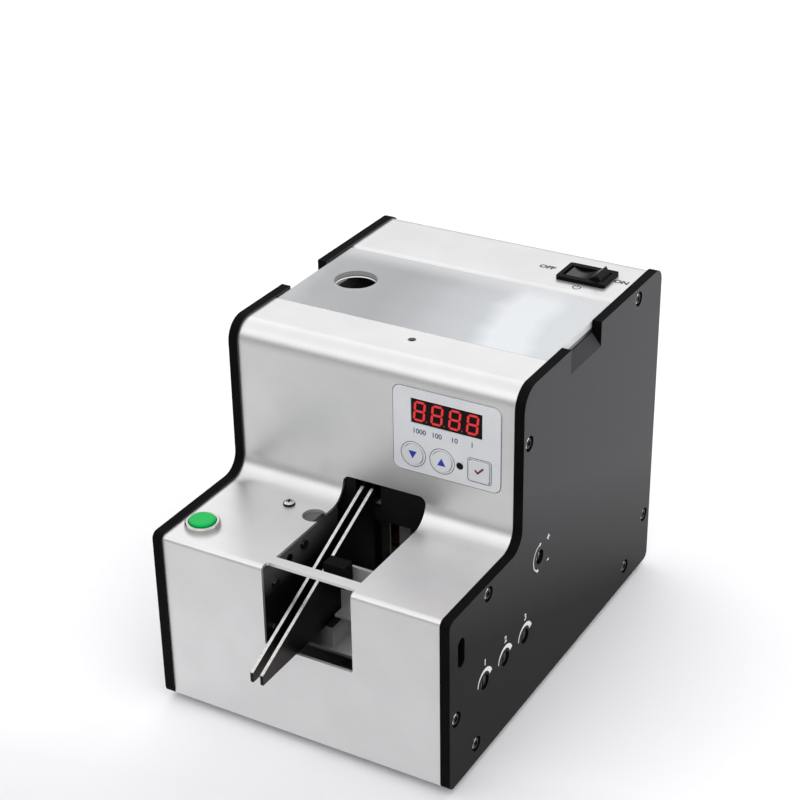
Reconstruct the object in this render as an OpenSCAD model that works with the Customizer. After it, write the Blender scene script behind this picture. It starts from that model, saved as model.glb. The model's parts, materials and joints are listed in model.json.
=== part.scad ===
// Screw counting machine: a benchtop unit that lifts screws out of a hopper onto a vibrating track
// and counts them as they slide down a slotted chute.
// Sketches use x across the machine, y back from the front edge of the side plates and z up from
// their bottom edge; the finished assembly is centred on its footprint and stands on its feet.

/* [Casing] */
// Width over the two side plates
body_w = 126; // [122:1:134]
// Depth of the side plates
body_d = 180; // [177:1:194]
// Height of the side plates
body_h = 137; // [135:1:148]
// Height of the shelf in front of the riser
shelf_h = 73; // [71:0.5:76]
// Distance from the front edge to the riser
riser_y = 56; // [54:0.5:59]
// Thickness of the side plates
plate_t = 4; // [3:0.5:5]
// Thickness of the bent sheet covers
sheet_t = 1.2; // [0.8:0.1:1.5]
// Step from the edge of the side plates down to the covers
reveal = 0.8; // [0.5:0.1:1.2]
// Radius of the bend at the top of the riser
top_r = 9; // [6:0.5:10]
// Radius between the shelf and the riser
shelf_r = 8; // [4:0.5:9]
// Radius at the rear top corner
back_r = 5.5; // [2.5:0.5:8]
// Radius of the bend at the front of the shelf
edge_r = 2.8; // [2.8:0.1:5]
// Radius of the bottom corners of the side plates
bottom_r = 3; // [1:0.5:5]
// Thickness of the base pan
pan_t = 1.5; // [1:0.1:2]
// Height of the rubber feet
foot_h = 3; // [2:0.5:6]
// Diameter of the rubber feet
foot_d = 13; // [10:0.5:16]

/* [Lid and hopper] */
// Depth of the front lip on top of the riser
lip_d = 27.5; // [26:0.5:30]
// Front to back size of the lid opening
lid_len = 57.5; // [56:0.5:62]
// Thickness of the clear lid
lid_t = 3; // [2:0.5:4]
// Diameter of the finger hole in the lid
finger_d = 17; // [14:0.5:20]
// Length of the finger notches in the side plates
notch_len = 26.7; // [20:0.1:32]
// Depth of the finger notches on the inner face
notch_in = 5; // [4:0.5:8]
// Depth of the finger notches on the outer face
notch_out = 10; // [8:0.5:14]
// Thickness of the hopper sheet
hopper_t = 1.2; // [0.8:0.1:1.5]
// Width of the ledge that the lid rests on
ledge_w = 2.5; // [2:0.1:3.5]

/* [Front openings] */
// Left edge of the front window
window_x0 = -14.9; // [-18:0.1:-13]
// Right edge of the front window
window_x1 = 22.8; // [18:0.1:26]
// Height from the window sill to the shelf
window_h = 34.6; // [30:0.1:38]
// Depth of the strip between window and shelf opening
strip_d = 4.5; // [3:0.1:6]
// Distance from the front edge to the shelf opening
opening_y = 9.2; // [8:0.1:14]
// Diameter of the round access notch beside the shelf opening
access_d = 9.2; // [6:0.1:11]

/* [Control panel] */
// Width of the control panel
panel_w = 44.3; // [43:0.1:48]
// Height of the control panel
panel_h = 34.6; // [33:0.1:38]
// Width of the display
display_w = 29.5; // [26:0.1:32]
// Height of the display
display_h = 10.2; // [8:0.1:12]
// Diameter of the round buttons and side of the square one
key_d = 8.2; // [7:0.1:8.6]
// Travel of the panel buttons
key_travel = 0.5; // [0.3:0.1:0.6]

/* [Switch and start button] */
// Length of the rocker switch bezel
switch_w = 21; // [20:0.5:24]
// Width of the rocker switch bezel
switch_d = 15; // [14:0.5:18]
// Tilt of the rocker from level
rocker_tilt = 13; // [8:1:15]
// Diameter of the start button bezel
start_d = 14; // [13.5:0.1:15]
// Travel of the start button
start_travel = 2; // [1:0.5:3]

/* [Chute and track] */
// How far the chute reaches out of the front window
chute_reach = 22; // [16:1:30]
// Slope of the chute in degrees
chute_slope = 24.5; // [23:0.5:26]
// Height of the chute tip
tip_h = 4.1; // [3:0.1:5]
// Sideways place of the screw slot
track_x = -3.45; // [-5:0.05:-2]
// Width of the screw slot between the blades
slot_w = 2.9; // [2:0.1:3.4]
// Thickness of the chute and track blades
blade_t = 1.3; // [1:0.1:1.6]
// Height of the track blades
rail_h = 8; // [7:0.5:9]
// Rise of the track towards the hopper in degrees
track_rise = 3; // [2:0.5:4]

/* [Drive] */
// Gear module
gear_m = 1; // [0.95:0.01:1.02]
// Teeth on the roller gear
gear_teeth = 60; // [57:1:63]
// Teeth on the motor pinion
pinion_teeth = 24; // [21:1:27]
// Width of the gears
gear_w = 5; // [4:0.1:5.2]
// Diameter of the roller shaft
shaft_d = 6; // [5:0.1:6.4]
// Diameter of the brush wheel
brush_d = 24; // [22:0.5:25]
// Diameter of the brush shaft
brush_shaft_d = 4; // [3:0.1:5]
// Number of vanes on each roller
vanes = 6; // [4:1:8]

/* [Adjusters] */
// Distance between the three trimmers
trimmer_pitch = 16.4; // [14:0.1:17]
// Diameter of the adjuster holes in the right plate
adjuster_d = 6; // [5:0.1:7]

/* [Hidden] */
$fn = 72;
eps = 0.01;
// Reach of a cut that runs clear past the case
far = 30;
// Clearances: a sliding or turning fit, and a visible gap round a panel
run = 0.1;
gap = 0.4;

// Faces of the casing
outer_x = body_w / 2;
inner_x = outer_x - plate_t;
skin = reveal + sheet_t;
top_z = body_h - reveal;
top_in = body_h - skin;
shelf_z = shelf_h - reveal;
shelf_in = shelf_h - skin;
riser_face = riser_y + reveal;
riser_in = riser_y + skin;
front_in = skin;
back_face = body_d - reveal;
back_in = body_d - skin;
cover_lift = 1;
pan_flange = 14;
foot_inset = [15, 16];
foot_web = 1;
foot_cone = 0.4;
foot_taper = 1;

// Fasteners
screw_d = 3;
screw_tail = 0.8;
screw_hole_d = 3.4;
head_d = 5.5;
head_h = 1.6;
head_sink = 1.8;
head_play = 0.3;
socket_d = 2.3;
ear_r = 5;
pan_screws = [[20.6, 8], [body_d - 24.2, 8.4]];
front_screw = [5.1, 29.4];
shelf_screw = [29.4, shelf_h - 4.5];
riser_screw = [riser_y + 4.5, body_h - 22.6];
top_screw = [body_d - 23, body_h - 5];
back_screw = [body_d - 5.6, 24];
cover_screws = [front_screw, shelf_screw, riser_screw, top_screw, back_screw];
side_screws = concat(pan_screws, cover_screws);

// Lid and hopper
lid_y0 = riser_y + lip_d;
lid_y1 = lid_y0 + lid_len;
hopper_y = (lid_y0 + lid_y1) / 2;
hopper_r = lid_len / 2 - ledge_w;
ledge_gap = 0.3;
ledge_front = 2;
slot_head = 15;
gear_room = 12;
belt_room = 7.5;
hopper_x0 = gear_room - inner_x;
hopper_x1 = inner_x - belt_room;
hopper_out0 = hopper_x0 - hopper_t;
hopper_out1 = hopper_x1 + hopper_t;
ledge_z = top_z - lid_t;
finger_inset = 18.8;
finger_x = finger_inset - inner_x;
finger_back = 1;
lip_bend_r = 2.2;
lip_bend_h = 8;
lip_hole_d = 3.2;
lip_hole = [track_x + 9.75, riser_y + 20.1];
notch_front = 17.75;
notch_y0 = hopper_y - notch_front;

// Front openings
sill_z = shelf_h - window_h;
window_corner = 1;
opening_in0 = 1.1;
opening_in1 = 0.5;
opening_x0 = window_x0 + opening_in0;
opening_x1 = window_x1 - opening_in1;
opening_corner = 3;
access_out = 3.2;
access_front = 15.5;
access_x = opening_x0 - access_out;
access_y = riser_y - access_front;
guard_screw_out = 12.8;
guard_screw_front = 13;
guard_screw_x = access_x - guard_screw_out;
guard_screw_y = riser_y - guard_screw_front;

// Chute and vibrating track
blade_x = slot_w / 2;
chute_z0 = sill_z + 0.8;
chute_y1 = riser_in - 0.5;
track_y0 = riser_in + 0.5;
track_y1 = hopper_y + 18.2;
track_z = chute_top(chute_y1) + 1;
opening_z1 = track_z + 1.9;
track_half = blade_x + blade_t;
slot_margin = 2.8;

function chute_top(y) = chute_z0 + tip_h + (y + chute_reach) * tan(chute_slope);
function track_top(y) = track_z + (y - track_y0) * tan(track_rise);

// Vibrator under the track
spring_t = 0.8;
spring_w = 16;
block_y0 = track_y0 + 2.4;
block_l = 17.7;
block_y1 = block_y0 + block_l;
block_half = 8.5;
vibrator_top = 18;
carrier_half = 4.5;
carrier_h = 6;
armature_t = 2.5;
armature_rise = 12;
magnet_gap = 0.8;

// Roller drive
shaft_z = track_z - 12.5;
roller_r = hopper_r - 1.05;
roller_gap = 8.5;
hub_d = 16;
vane_t = 1.6;
vane_lip = 4.6;
bracket_t = 2;
bracket_w = 43;
bracket_foot = 12;
bracket_top = shaft_z + 16;
bush_d = shaft_d + 2;
bush_flange_t = 0.8;
gear_gap = 0.5;
centre_play = 0.3;
backlash = 0.25;
pressure = 20;
centre_d = gear_m * (gear_teeth + pinion_teeth) / 2 + centre_play;
motor_z = shaft_z - centre_d;
motor_d = 25;
motor_shaft_d = 4;
bracket_x0 = hopper_out0 - bracket_t;
bracket_x1 = hopper_out1 + bracket_t;
gear_x1 = bracket_x0 - bush_flange_t - gear_gap;
gear_x0 = gear_x1 - gear_w;
pulley_x0 = bracket_x1 + bush_flange_t + 0.3;
pulley_w = 2.6;
pulley_r = 9;
brush_pulley_r = 6;
belt_t = 1.2;
pulley_flange = 1.5;
belt_play = 0.3;
brush_y = lid_y0 + ledge_w + brush_d / 2 + 1.5;
brush_z = track_top(brush_y) + brush_d / 2 + 2.5;
brush_bush_d = brush_shaft_d + 3;

// Control panel on the riser
panel_x1 = inner_x - 5.6;
panel_x0 = panel_x1 - panel_w;
panel_z1 = body_h - top_r - 0.6;
panel_z0 = panel_z1 - panel_h;
panel_r = 3;
panel_proud = 0.3;
panel_face = riser_face - panel_proud;
panel_flange = 1.6;
panel_back = riser_in + 1.2;
display_x = (panel_x0 + panel_x1) / 2;
display_z = panel_z1 - 3.9 - display_h / 2;
key_z = panel_z0 + 7.3;
down_x = panel_x0 + 8.3;
up_x = panel_x0 + 20.4;
led_x = panel_x0 + 27.7;
set_x = panel_x1 - 8.4;
led_d = 2.8;
led_recess = 0.1;
display_recess = 0.3;
key_proud = 0.6;
key_flange = 0.7;
key_flange_t = 0.9;
key_seat = panel_back + 0.3;
board_t = 1.6;
board_y = panel_back + 4.8;
boss_d = 3.6;

// Rocker switch and start button
switch_x = inner_x - 18.9;
switch_forward = 2;
switch_y = (lid_y1 + back_face) / 2 - switch_forward;
bezel_h = 1.6;
switch_depth = 18;
rocker_half = 8.4;
rocker_w = 9;
rocker_tip = 1.4;
rocker_top = 3.6;
rocker_dip = 1.4;
rocker_side = 1;
rocker_keel = 3;
rocker_play = 0.3;
snap_half = [switch_w / 2 - 1, switch_d / 2 - 1.1];
terminal = [0.8, 4.8, 7];
terminal_pitch = 6;
pivot_z = top_z - 0.7;
pocket_z = top_z - 7.2;
pivot_d = 2;
start_x = 8.9 - inner_x;
start_y = 14.5;
start_bezel_h = 2.2;
barrel_d = 12;
cap_d = 10.4;
cap_bore_d = 11;
cap_rise = 0.9;
cap_crown = 0.8;
cap_skirt = 4;
barrel_bottom = shelf_z - 20;
nut_d = 16;
nut_h = 3;

// Inner guards, tray and sensor
guard_t = 1.2;
left_guard_x = window_x0 - 1.4;
right_guard_x = window_x1 + 2.2;
guard_z0 = 20;
guard_flange_w = 18.5;
guard_flange_y0 = access_y - 10;
guard_flange_y1 = guard_screw_y + 8;
tray_z = chute_z0 - 9.2;
tray_t = 1.5;
tray_side = [2.3, 3];
spacer_h = 11;
shield_t = 1;
shield_side = [6, 4];
shield_drop = 5;
shield_gap = 0.5;
tray_y0 = 19.5;
tray_y1 = riser_y - 4;
sensor_y = 21.3;
sensor_rise = 1.3;
sensor_z = chute_top(sensor_y) + sensor_rise;
sensor_plate_t = 1.2;
sensor_l = 6;
sensor_w = 9;
sensor_h = 9;
sensor_gap = 1.2;
emitter_d = 3;
emitter_l = 5;
emitter_nose = 0.6;
ledge_x = track_x + 7.4;
ledge_top = sill_z + 8.3;
pan_head_d = 4.8;
pan_head_h = 1.6;
cross_l = 2.6;
cross_w = 0.7;
cross_depth = 1;
cross_turn = 20;
bolt_d = 2;
bolt_head_d = 3.8;
bolt_head_h = 1.2;
bolt_tail = 1.5;
guard_bolts = [[11, shelf_in - 12], [31, shelf_in - 6], [8.6, sill_z + 2.4]];

// Adjusters on the right plate
trimmer_y = 27;
trimmer_z = 31.7;
trimmer_ys = [for (i = [0:2]) trimmer_y + i * trimmer_pitch];
rotor_d = adjuster_d - 0.8;
rotor_recess = 1;
trimmer_side = 9.5;
trimmer_h = 5;
trimmer_play = 0.2;
trimmer_board_end = 7;
trimmer_board_half = 8;
trimmer_board_x = inner_x - 9;
gate_y = riser_y + 15.4;
gate_drop = 20;
gate_z = track_z - gate_drop;
gate_shaft_d = 4;
gate_arm = 26;
gate_arm_t = 2.4;
gate_finger_h = 2.6;
gate_post_side = 9.45;
gate_post_x0 = track_x + gate_post_side;
gate_post_w = 5;
gate_play = 0.4;
gate_post_half = 6.5;
gate_post_head = 6;
level_slot = [8.6, 56.2];
level_slot_w = 5;
level_slot_l = 12;

// Power inlet and driver board
jack_x = 19 - inner_x;
jack_z = 25;
jack_d = 8;
jack_flange_d = 11;
jack_flange_t = 1.8;
jack_l = 14;
jack_bore_d = 5.5;
jack_pin_d = 2;
jack_pin_l = 12;
jack_bore_l = 9;
driver_z = pan_t + 6.5;
driver_y0 = lid_y1 + 3.5;
driver_y1 = back_in - 4;
driver_x0 = -10;
driver_x1 = inner_x - 9;

// The footprint runs from the chute tip to the inlet flange
y_mid = (back_face + jack_flange_t - chute_reach) / 2;

// Placing and sketching helpers
module place() {
    translate([0, -y_mid, foot_h]) children();
}

// Extrudes a (y, z) sketch from x0 to x1
module along_x(x0, x1) {
    translate([x0, 0, 0]) rotate([90, 0, 90]) linear_extrude(x1 - x0) children();
}

// Extrudes an (x, z) sketch from y0 to y1
module along_y(y0, y1) {
    translate([0, y1, 0]) rotate([90, 0, 0]) linear_extrude(y1 - y0) children();
}

// Extrudes an (x, y) sketch from z0 to z1
module along_z(z0, z1) {
    translate([0, 0, z0]) linear_extrude(z1 - z0) children();
}

module slab(x0, x1, y0, y1, z0, z1) {
    translate([x0, y0, z0]) cube([x1 - x0, y1 - y0, z1 - z0]);
}

module rod_x(x0, x1, y, z, d) {
    translate([x0, y, z]) rotate([0, 90, 0]) cylinder(d = d, h = x1 - x0);
}

module rod_y(y0, y1, x, z, d) {
    translate([x, y1, z]) rotate([90, 0, 0]) cylinder(d = d, h = y1 - y0);
}

module rod_z(z0, z1, x, y, d) {
    translate([x, y, z0]) cylinder(d = d, h = z1 - z0);
}

module both_sides() {
    children();
    mirror([1, 0, 0]) children();
}

// The sliver between a square corner at the origin and an arc of radius r
module corner_sliver(r) {
    difference() {
        translate([-eps, -eps]) square(r + eps);
        translate([r, r]) circle(r);
    }
}

// A rectangle with its own radius at each corner: bottom left, bottom right, top right, top left
module round_rect(x0, z0, x1, z1, radii) {
    difference() {
        translate([x0, z0]) square([x1 - x0, z1 - z0]);
        if (radii[0] > 0) translate([x0, z0]) corner_sliver(radii[0]);
        if (radii[1] > 0) translate([x1, z0]) mirror([1, 0]) corner_sliver(radii[1]);
        if (radii[2] > 0) translate([x1, z1]) rotate(180) corner_sliver(radii[2]);
        if (radii[3] > 0) translate([x0, z1]) mirror([0, 1]) corner_sliver(radii[3]);
    }
}

// Side view of the case drawn in by p, from the height z0 up
module body_outline(p, z0, corner) {
    round_rect(p, z0, body_d - p, shelf_h - p, [corner, corner, 0, edge_r - p]);
    round_rect(riser_y + p, z0, body_d - p, body_h - p, [0, corner, back_r - p, top_r - p]);
    translate([riser_y + p, shelf_h - p]) mirror([1, 0]) difference() {
        square(shelf_r + p);
        translate([shelf_r + p, shelf_r + p]) circle(shelf_r + p);
    }
}

// Side view of the front cover: front, shelf, riser and lip in one sheet
module front_sheet() {
    difference() {
        body_outline(reveal, -far, 0);
        body_outline(skin, -far - skin, 0);
        translate([lid_y0, -2 * far]) square([body_d, body_h + 4 * far]);
        translate([-far, -2 * far]) square([body_d + 2 * far, 2 * far + cover_lift]);
    }
}

// Side view of the rear cover: turned-down front edge, top and back
module rear_sheet() {
    difference() {
        round_rect(lid_y1, -far, back_face, top_z, [0, 0, back_r - reveal, lip_bend_r]);
        round_rect(lid_y1 + sheet_t, -far - skin, back_in, top_in,
            [0, 0, back_r - skin, lip_bend_r - sheet_t]);
        translate([lid_y1 - 1, -2 * far]) square([sheet_t + 2, 2 * far + top_z - lip_bend_h]);
        translate([lid_y1 - 1, -2 * far]) square([body_d, 2 * far + cover_lift]);
    }
}

// A bent tab against the side plate, tapped for a case screw
module ear(screw, y0, y1, z0, z1) {
    both_sides() difference() {
        slab(inner_x - sheet_t, inner_x, y0, y1, z0, z1);
        rod_x(inner_x - 5, inner_x + 1, screw[0], screw[1], screw_d);
    }
}

// Casing
module right_blank() {
    difference() {
        along_x(inner_x, outer_x) body_outline(0, 0, bottom_r);
        along_y(notch_y0, notch_y0 + notch_len)
            polygon([
                [inner_x - 1, body_h + 1],
                [inner_x - 1, body_h - notch_in],
                [inner_x, body_h - notch_in],
                [outer_x, body_h - notch_out],
                [outer_x + 1, body_h - notch_out],
                [outer_x + 1, body_h + 1]
            ]);
        for (s = side_screws) {
            rod_x(inner_x - 1, outer_x + 1, s[0], s[1], screw_hole_d);
            rod_x(outer_x - head_sink, outer_x + 1, s[0], s[1], head_d + 2 * head_play);
        }
    }
}

module left_side_plate() {
    color("dimgray") place() mirror([1, 0, 0]) right_blank();
}

module right_side_plate() {
    slot_half = (level_slot_l - level_slot_w) / 2;
    color("dimgray") place() difference() {
        right_blank();
        for (y = trimmer_ys) rod_x(inner_x - 1, outer_x + 1, y, trimmer_z, adjuster_d);
        rod_x(inner_x - 1, outer_x + 1, gate_y, gate_z, adjuster_d);
        for (side = [-1, 1])
            rod_x(inner_x - 1, outer_x + 1, level_slot[0], level_slot[1] + side * slot_half, level_slot_w);
        slab(inner_x - 1, outer_x + 1, level_slot[0] - level_slot_w / 2, level_slot[0] + level_slot_w / 2,
            level_slot[1] - slot_half, level_slot[1] + slot_half);
    }
}

module front_cover() {
    cut_r = panel_r + gap;
    color("silver") place() {
        difference() {
            along_x(-inner_x, inner_x) front_sheet();
            along_y(-1, front_in + 1)
                round_rect(window_x0, sill_z, window_x1, shelf_h, [window_corner, window_corner, 0, 0]);
            along_z(shelf_h - edge_r - sheet_t, shelf_h)
                round_rect(window_x0, -1, window_x1, opening_y - strip_d,
                    [0, 0, window_corner, window_corner]);
            slab(opening_x0, opening_x1, opening_y, riser_y, shelf_in - 1, shelf_z + 1);
            along_y(riser_y - shelf_r - 2, riser_in + 1)
                round_rect(opening_x0, shelf_in - 2, opening_x1, opening_z1,
                    [0, 0, opening_corner, opening_corner]);
            rod_z(shelf_in - 1, shelf_z + 1, access_x, access_y, access_d);
            rod_z(shelf_in - 1, shelf_z + 1, guard_screw_x, guard_screw_y, screw_hole_d);
            rod_z(shelf_in - 1, shelf_z + 1, start_x, start_y, barrel_d + 2 * run);
            along_y(riser_y - 1, riser_in + 1)
                round_rect(panel_x0 - gap, panel_z0 - gap, panel_x1 + gap, panel_z1 + gap,
                    [cut_r, cut_r, cut_r, cut_r]);
            rod_z(top_in - 1, top_z + 1, lip_hole[0], lip_hole[1], lip_hole_d);
        }
        ear(front_screw, front_in - eps, front_screw[0] + ear_r,
            front_screw[1] - ear_r, front_screw[1] + ear_r);
        ear(shelf_screw, shelf_screw[0] - ear_r, shelf_screw[0] + ear_r,
            shelf_screw[1] - ear_r, shelf_in + eps);
        ear(riser_screw, riser_in - eps, riser_screw[0] + ear_r,
            riser_screw[1] - ear_r, riser_screw[1] + ear_r);
    }
}

module rear_cover() {
    color("silver") place() {
        difference() {
            along_x(-inner_x, inner_x) rear_sheet();
            slab(switch_x - snap_half[0] - run, switch_x + snap_half[0] + run,
                switch_y - snap_half[1] - run, switch_y + snap_half[1] + run,
                top_z - switch_depth, top_z + 1);
            rod_y(back_in - 1, back_face + 1, jack_x, jack_z, jack_d + 2 * run);
        }
        ear(top_screw, top_screw[0] - ear_r, top_screw[0] + ear_r,
            top_screw[1] - ear_r, top_in + eps);
        ear(back_screw, back_screw[0] - ear_r, back_in + eps,
            back_screw[1] - ear_r, back_screw[1] + ear_r);
    }
}

module base_pan() {
    color("gray") place() difference() {
        union() {
            slab(-inner_x, inner_x, front_in, back_in, 0, pan_t);
            both_sides() slab(inner_x - pan_t, inner_x, front_in, back_in, 0, pan_flange);
        }
        for (s = pan_screws) rod_x(-inner_x - 1, inner_x + 1, s[0], s[1], screw_d);
    }
}

module rubber_feet() {
    color("black") place()
        both_sides() for (y = [foot_inset[1], body_d - foot_inset[1]])
            translate([outer_x - foot_inset[0], y, -foot_h]) rotate_extrude()
                polygon([
                    [screw_d / 2, foot_h - foot_web],
                    [screw_d, foot_h - foot_web - foot_cone],
                    [screw_d, 0],
                    [foot_d / 2 - foot_taper, 0],
                    [foot_d / 2, foot_h],
                    [0, foot_h],
                    [0, foot_h - foot_web]
                ]);
}

// A button-head screw along -x with its head seated at the origin
module case_screw(length) {
    difference() {
        union() {
            rotate([0, 90, 0]) rotate_extrude()
                polygon([
                    [0, 0],
                    [head_d / 2, 0],
                    [head_d / 2, head_h * 0.4],
                    [head_d * 0.36, head_h * 0.9],
                    [head_d * 0.25, head_h],
                    [0, head_h]
                ]);
            rod_x(-length, 0, 0, 0, screw_d);
        }
        translate([head_h * 0.3, 0, 0]) rotate([0, 90, 0]) cylinder(d = socket_d, h = head_h, $fn = 6);
    }
}

module case_screws() {
    color("black") place()
        both_sides() for (s = side_screws)
            translate([outer_x - head_sink, s[0], s[1]])
                case_screw(plate_t - head_sink + sheet_t + screw_tail);
}

module hopper_lid() {
    color("lightblue", 0.5) place() difference() {
        slab(gap - inner_x, inner_x - gap, lid_y0 + gap, lid_y1 - gap, ledge_z, top_z);
        rod_z(ledge_z - 1, top_z + 1, finger_x, hopper_y + finger_back, finger_d);
    }
}

// Hopper and rollers
module trough(r) {
    translate([hopper_y, shaft_z]) circle(r);
    translate([hopper_y - r, shaft_z]) square([2 * r, top_z - shaft_z]);
}

module hopper() {
    color("lightgray") place() difference() {
        union() {
            intersection() {
                along_x(hopper_out0, hopper_out1) trough(hopper_r + hopper_t);
                slab(-inner_x, inner_x, 0, body_d, 0, ledge_z);
            }
            slab(ledge_gap - inner_x, inner_x - ledge_gap, lid_y0 - ledge_front, lid_y1 - ledge_gap,
                ledge_z - hopper_t, ledge_z);
        }
        along_x(hopper_x0, hopper_x1) trough(hopper_r);
        slab(track_x - track_half - slot_margin, track_x + track_half + slot_margin,
            lid_y0, hopper_y - hopper_r + 1, track_z - rail_h - 1, track_z + slot_head);
        rod_x(-inner_x, inner_x, hopper_y, shaft_z, bush_d);
        rod_x(-inner_x, inner_x, brush_y, brush_z, brush_bush_d);
    }
}

// End view of one vane: a straight blade with its lip bent over
module vane_sketch() {
    bend = 40;
    straight = roller_r - vane_lip;
    half = vane_t / 2;
    mitre = half * tan(bend / 2);
    tip = [-vane_lip * sin(bend), straight + vane_lip * cos(bend)];
    side = half * [cos(bend), sin(bend)];
    polygon([
        [-half, 0],
        [half, 0],
        [half, straight + mitre],
        tip + side,
        tip - side,
        [-half, straight - mitre]
    ]);
}

module roller(x0, x1) {
    along_x(x0, x1) translate([hopper_y, shaft_z]) difference() {
        union() {
            circle(d = hub_d);
            for (i = [0:vanes - 1]) rotate(i * 360 / vanes) vane_sketch();
        }
        circle(d = shaft_d);
    }
}

module left_roller() {
    color("ivory") place() roller(hopper_x0 + 3, track_x - roller_gap);
}

module right_roller() {
    color("ivory") place() roller(track_x + roller_gap, hopper_x1 - 3);
}

// A flanged pulley wheel with a flat groove, in one piece with its shaft
module pulley(r, y, z) {
    groove_x = pulley_x0 + (pulley_w - belt_t) / 2 - belt_play;
    flange_d = 2 * (r + pulley_flange);
    rod_x(pulley_x0, pulley_x0 + pulley_w, y, z, 2 * r);
    rod_x(pulley_x0, groove_x, y, z, flange_d);
    rod_x(2 * pulley_x0 + pulley_w - groove_x, pulley_x0 + pulley_w, y, z, flange_d);
}

module roller_shaft() {
    color("silver") place() {
        rod_x(gear_x0, pulley_x0 + pulley_w, hopper_y, shaft_z, shaft_d);
        pulley(pulley_r, hopper_y, shaft_z);
    }
}

// A flanged bush seated in a wall, with its flange towards the outside
module flanged_bush(x0, x1, side, y, z, d, bore) {
    flange_x = side > 0 ? x1 : x0 - bush_flange_t;
    difference() {
        union() {
            rod_x(x0, x1, y, z, d);
            rod_x(flange_x, flange_x + bush_flange_t, y, z, d + 3);
        }
        rod_x(x0 - 5, x1 + 5, y, z, bore + 2 * run);
    }
}

module shaft_bushes() {
    color("goldenrod") place() {
        flanged_bush(bracket_x0, hopper_x0, -1, hopper_y, shaft_z, bush_d, shaft_d);
        flanged_bush(hopper_x1, bracket_x1, 1, hopper_y, shaft_z, bush_d, shaft_d);
    }
}

module brush_bushes() {
    color("goldenrod") place() {
        flanged_bush(hopper_out0, hopper_x0, -1, brush_y, brush_z, brush_bush_d, brush_shaft_d);
        flanged_bush(hopper_x1, hopper_out1, 1, brush_y, brush_z, brush_bush_d, brush_shaft_d);
    }
}

module brush_shaft() {
    color("silver") place() {
        rod_x(hopper_out0, pulley_x0 + pulley_w, brush_y, brush_z, brush_shaft_d);
        pulley(brush_pulley_r, brush_y, brush_z);
    }
}

module brush_wheel() {
    tuft_rows = 3;
    tufts = 12;
    tuft_d = 2;
    tuft_l = 7;
    half = track_half + slot_margin;
    hub_r = brush_d / 2 - tuft_l;
    row_pitch = (2 * half - tuft_d - 1) / (tuft_rows - 1);
    color("seashell") place() translate([track_x, brush_y, brush_z]) difference() {
        union() {
            rod_x(-half, half, 0, 0, 2 * hub_r);
            for (row = [0:tuft_rows - 1], i = [0:tufts - 1])
                translate([(row - 1) * row_pitch, 0, 0])
                    rotate([(i + row / tuft_rows) * 360 / tufts, 0, 0])
                        cylinder(d = tuft_d, h = brush_d / 2);
        }
        rod_x(-half - 1, half + 1, 0, 0, brush_shaft_d);
    }
}

// Side view of a belt run round both pulleys, drawn out by g from their grooves
module belt_outline(g) {
    hull() {
        translate([hopper_y, shaft_z]) circle(pulley_r + g);
        translate([brush_y, brush_z]) circle(brush_pulley_r + g);
    }
}

module brush_belt() {
    belt_x = pulley_x0 + (pulley_w - belt_t) / 2;
    color("black") place() along_x(belt_x, belt_x + belt_t) difference() {
        belt_outline(belt_play + belt_t);
        belt_outline(belt_play);
    }
}

// Involute gearing
function degrees(a) = a * 180 / PI;
function involute(a) = degrees(tan(a)) - a;
function flank_angle(teeth, r) =
    let (
        pitch_r = gear_m * teeth / 2,
        base_r = pitch_r * cos(pressure)
    )
    90 / teeth - degrees(backlash / 2 / pitch_r) + involute(pressure)
        - involute(acos(min(1, base_r / r)));
function tooth_radii(teeth) = [
    gear_m * (teeth / 2 - 1.25),
    gear_m * (teeth / 2 - 0.3),
    gear_m * (teeth / 2 + 0.4),
    gear_m * (teeth / 2 + 0.95)
];
function polar(r, a) = [r * cos(a), r * sin(a)];
function gear_points(teeth) =
    let (radii = tooth_radii(teeth), last = len(radii) - 1)
    [
        for (i = [0:teeth - 1], k = [0:2 * last + 1])
            let (
                rising = k <= last,
                r = radii[rising ? k : 2 * last + 1 - k],
                half = flank_angle(teeth, r)
            )
            polar(r, i * 360 / teeth + (rising ? -half : half))
    ];

module roller_gear() {
    reliefs = 5;
    relief_r = gear_m * gear_teeth * 0.3;
    color("whitesmoke") place() difference() {
        union() {
            along_x(gear_x0, gear_x1) translate([hopper_y, shaft_z])
                rotate(-90) polygon(gear_points(gear_teeth));
            rod_x(gear_x0, gear_x1 + gear_gap / 2, hopper_y, shaft_z, shaft_d + 5);
        }
        rod_x(gear_x0 - 1, gear_x1 + 1, hopper_y, shaft_z, shaft_d);
        for (i = [0:reliefs - 1])
            translate([0, hopper_y, shaft_z]) rotate([i * 360 / reliefs, 0, 0])
                rod_x(gear_x0 - 1, gear_x1 + 1, relief_r, 0, relief_r * 0.7);
    }
}

module motor_pinion() {
    color("goldenrod") place() {
        along_x(gear_x0, gear_x1) translate([hopper_y, motor_z])
            rotate(90 + 180 / pinion_teeth) polygon(gear_points(pinion_teeth));
        rod_x(gear_x0, hopper_out0 + 6, hopper_y, motor_z, motor_shaft_d);
    }
}

module roller_motor() {
    gearbox_l = 22;
    can_l = 34;
    end_boss_d = 10;
    end_boss_l = 2.5;
    gearbox_x1 = hopper_out0 + gearbox_l;
    can_x1 = gearbox_x1 + can_l;
    color("lightsteelblue") place() difference() {
        union() {
            rod_x(bracket_x0, hopper_out0, hopper_y, motor_z, motor_shaft_d + 3);
            rod_x(hopper_out0, gearbox_x1, hopper_y, motor_z, motor_d);
            rod_x(gearbox_x1, can_x1, hopper_y, motor_z, motor_d - 1);
            rod_x(can_x1, can_x1 + end_boss_l, hopper_y, motor_z, end_boss_d);
        }
        rod_x(bracket_x0 - 1, hopper_out0 + 7, hopper_y, motor_z, motor_shaft_d + 2 * run);
    }
}

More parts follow.
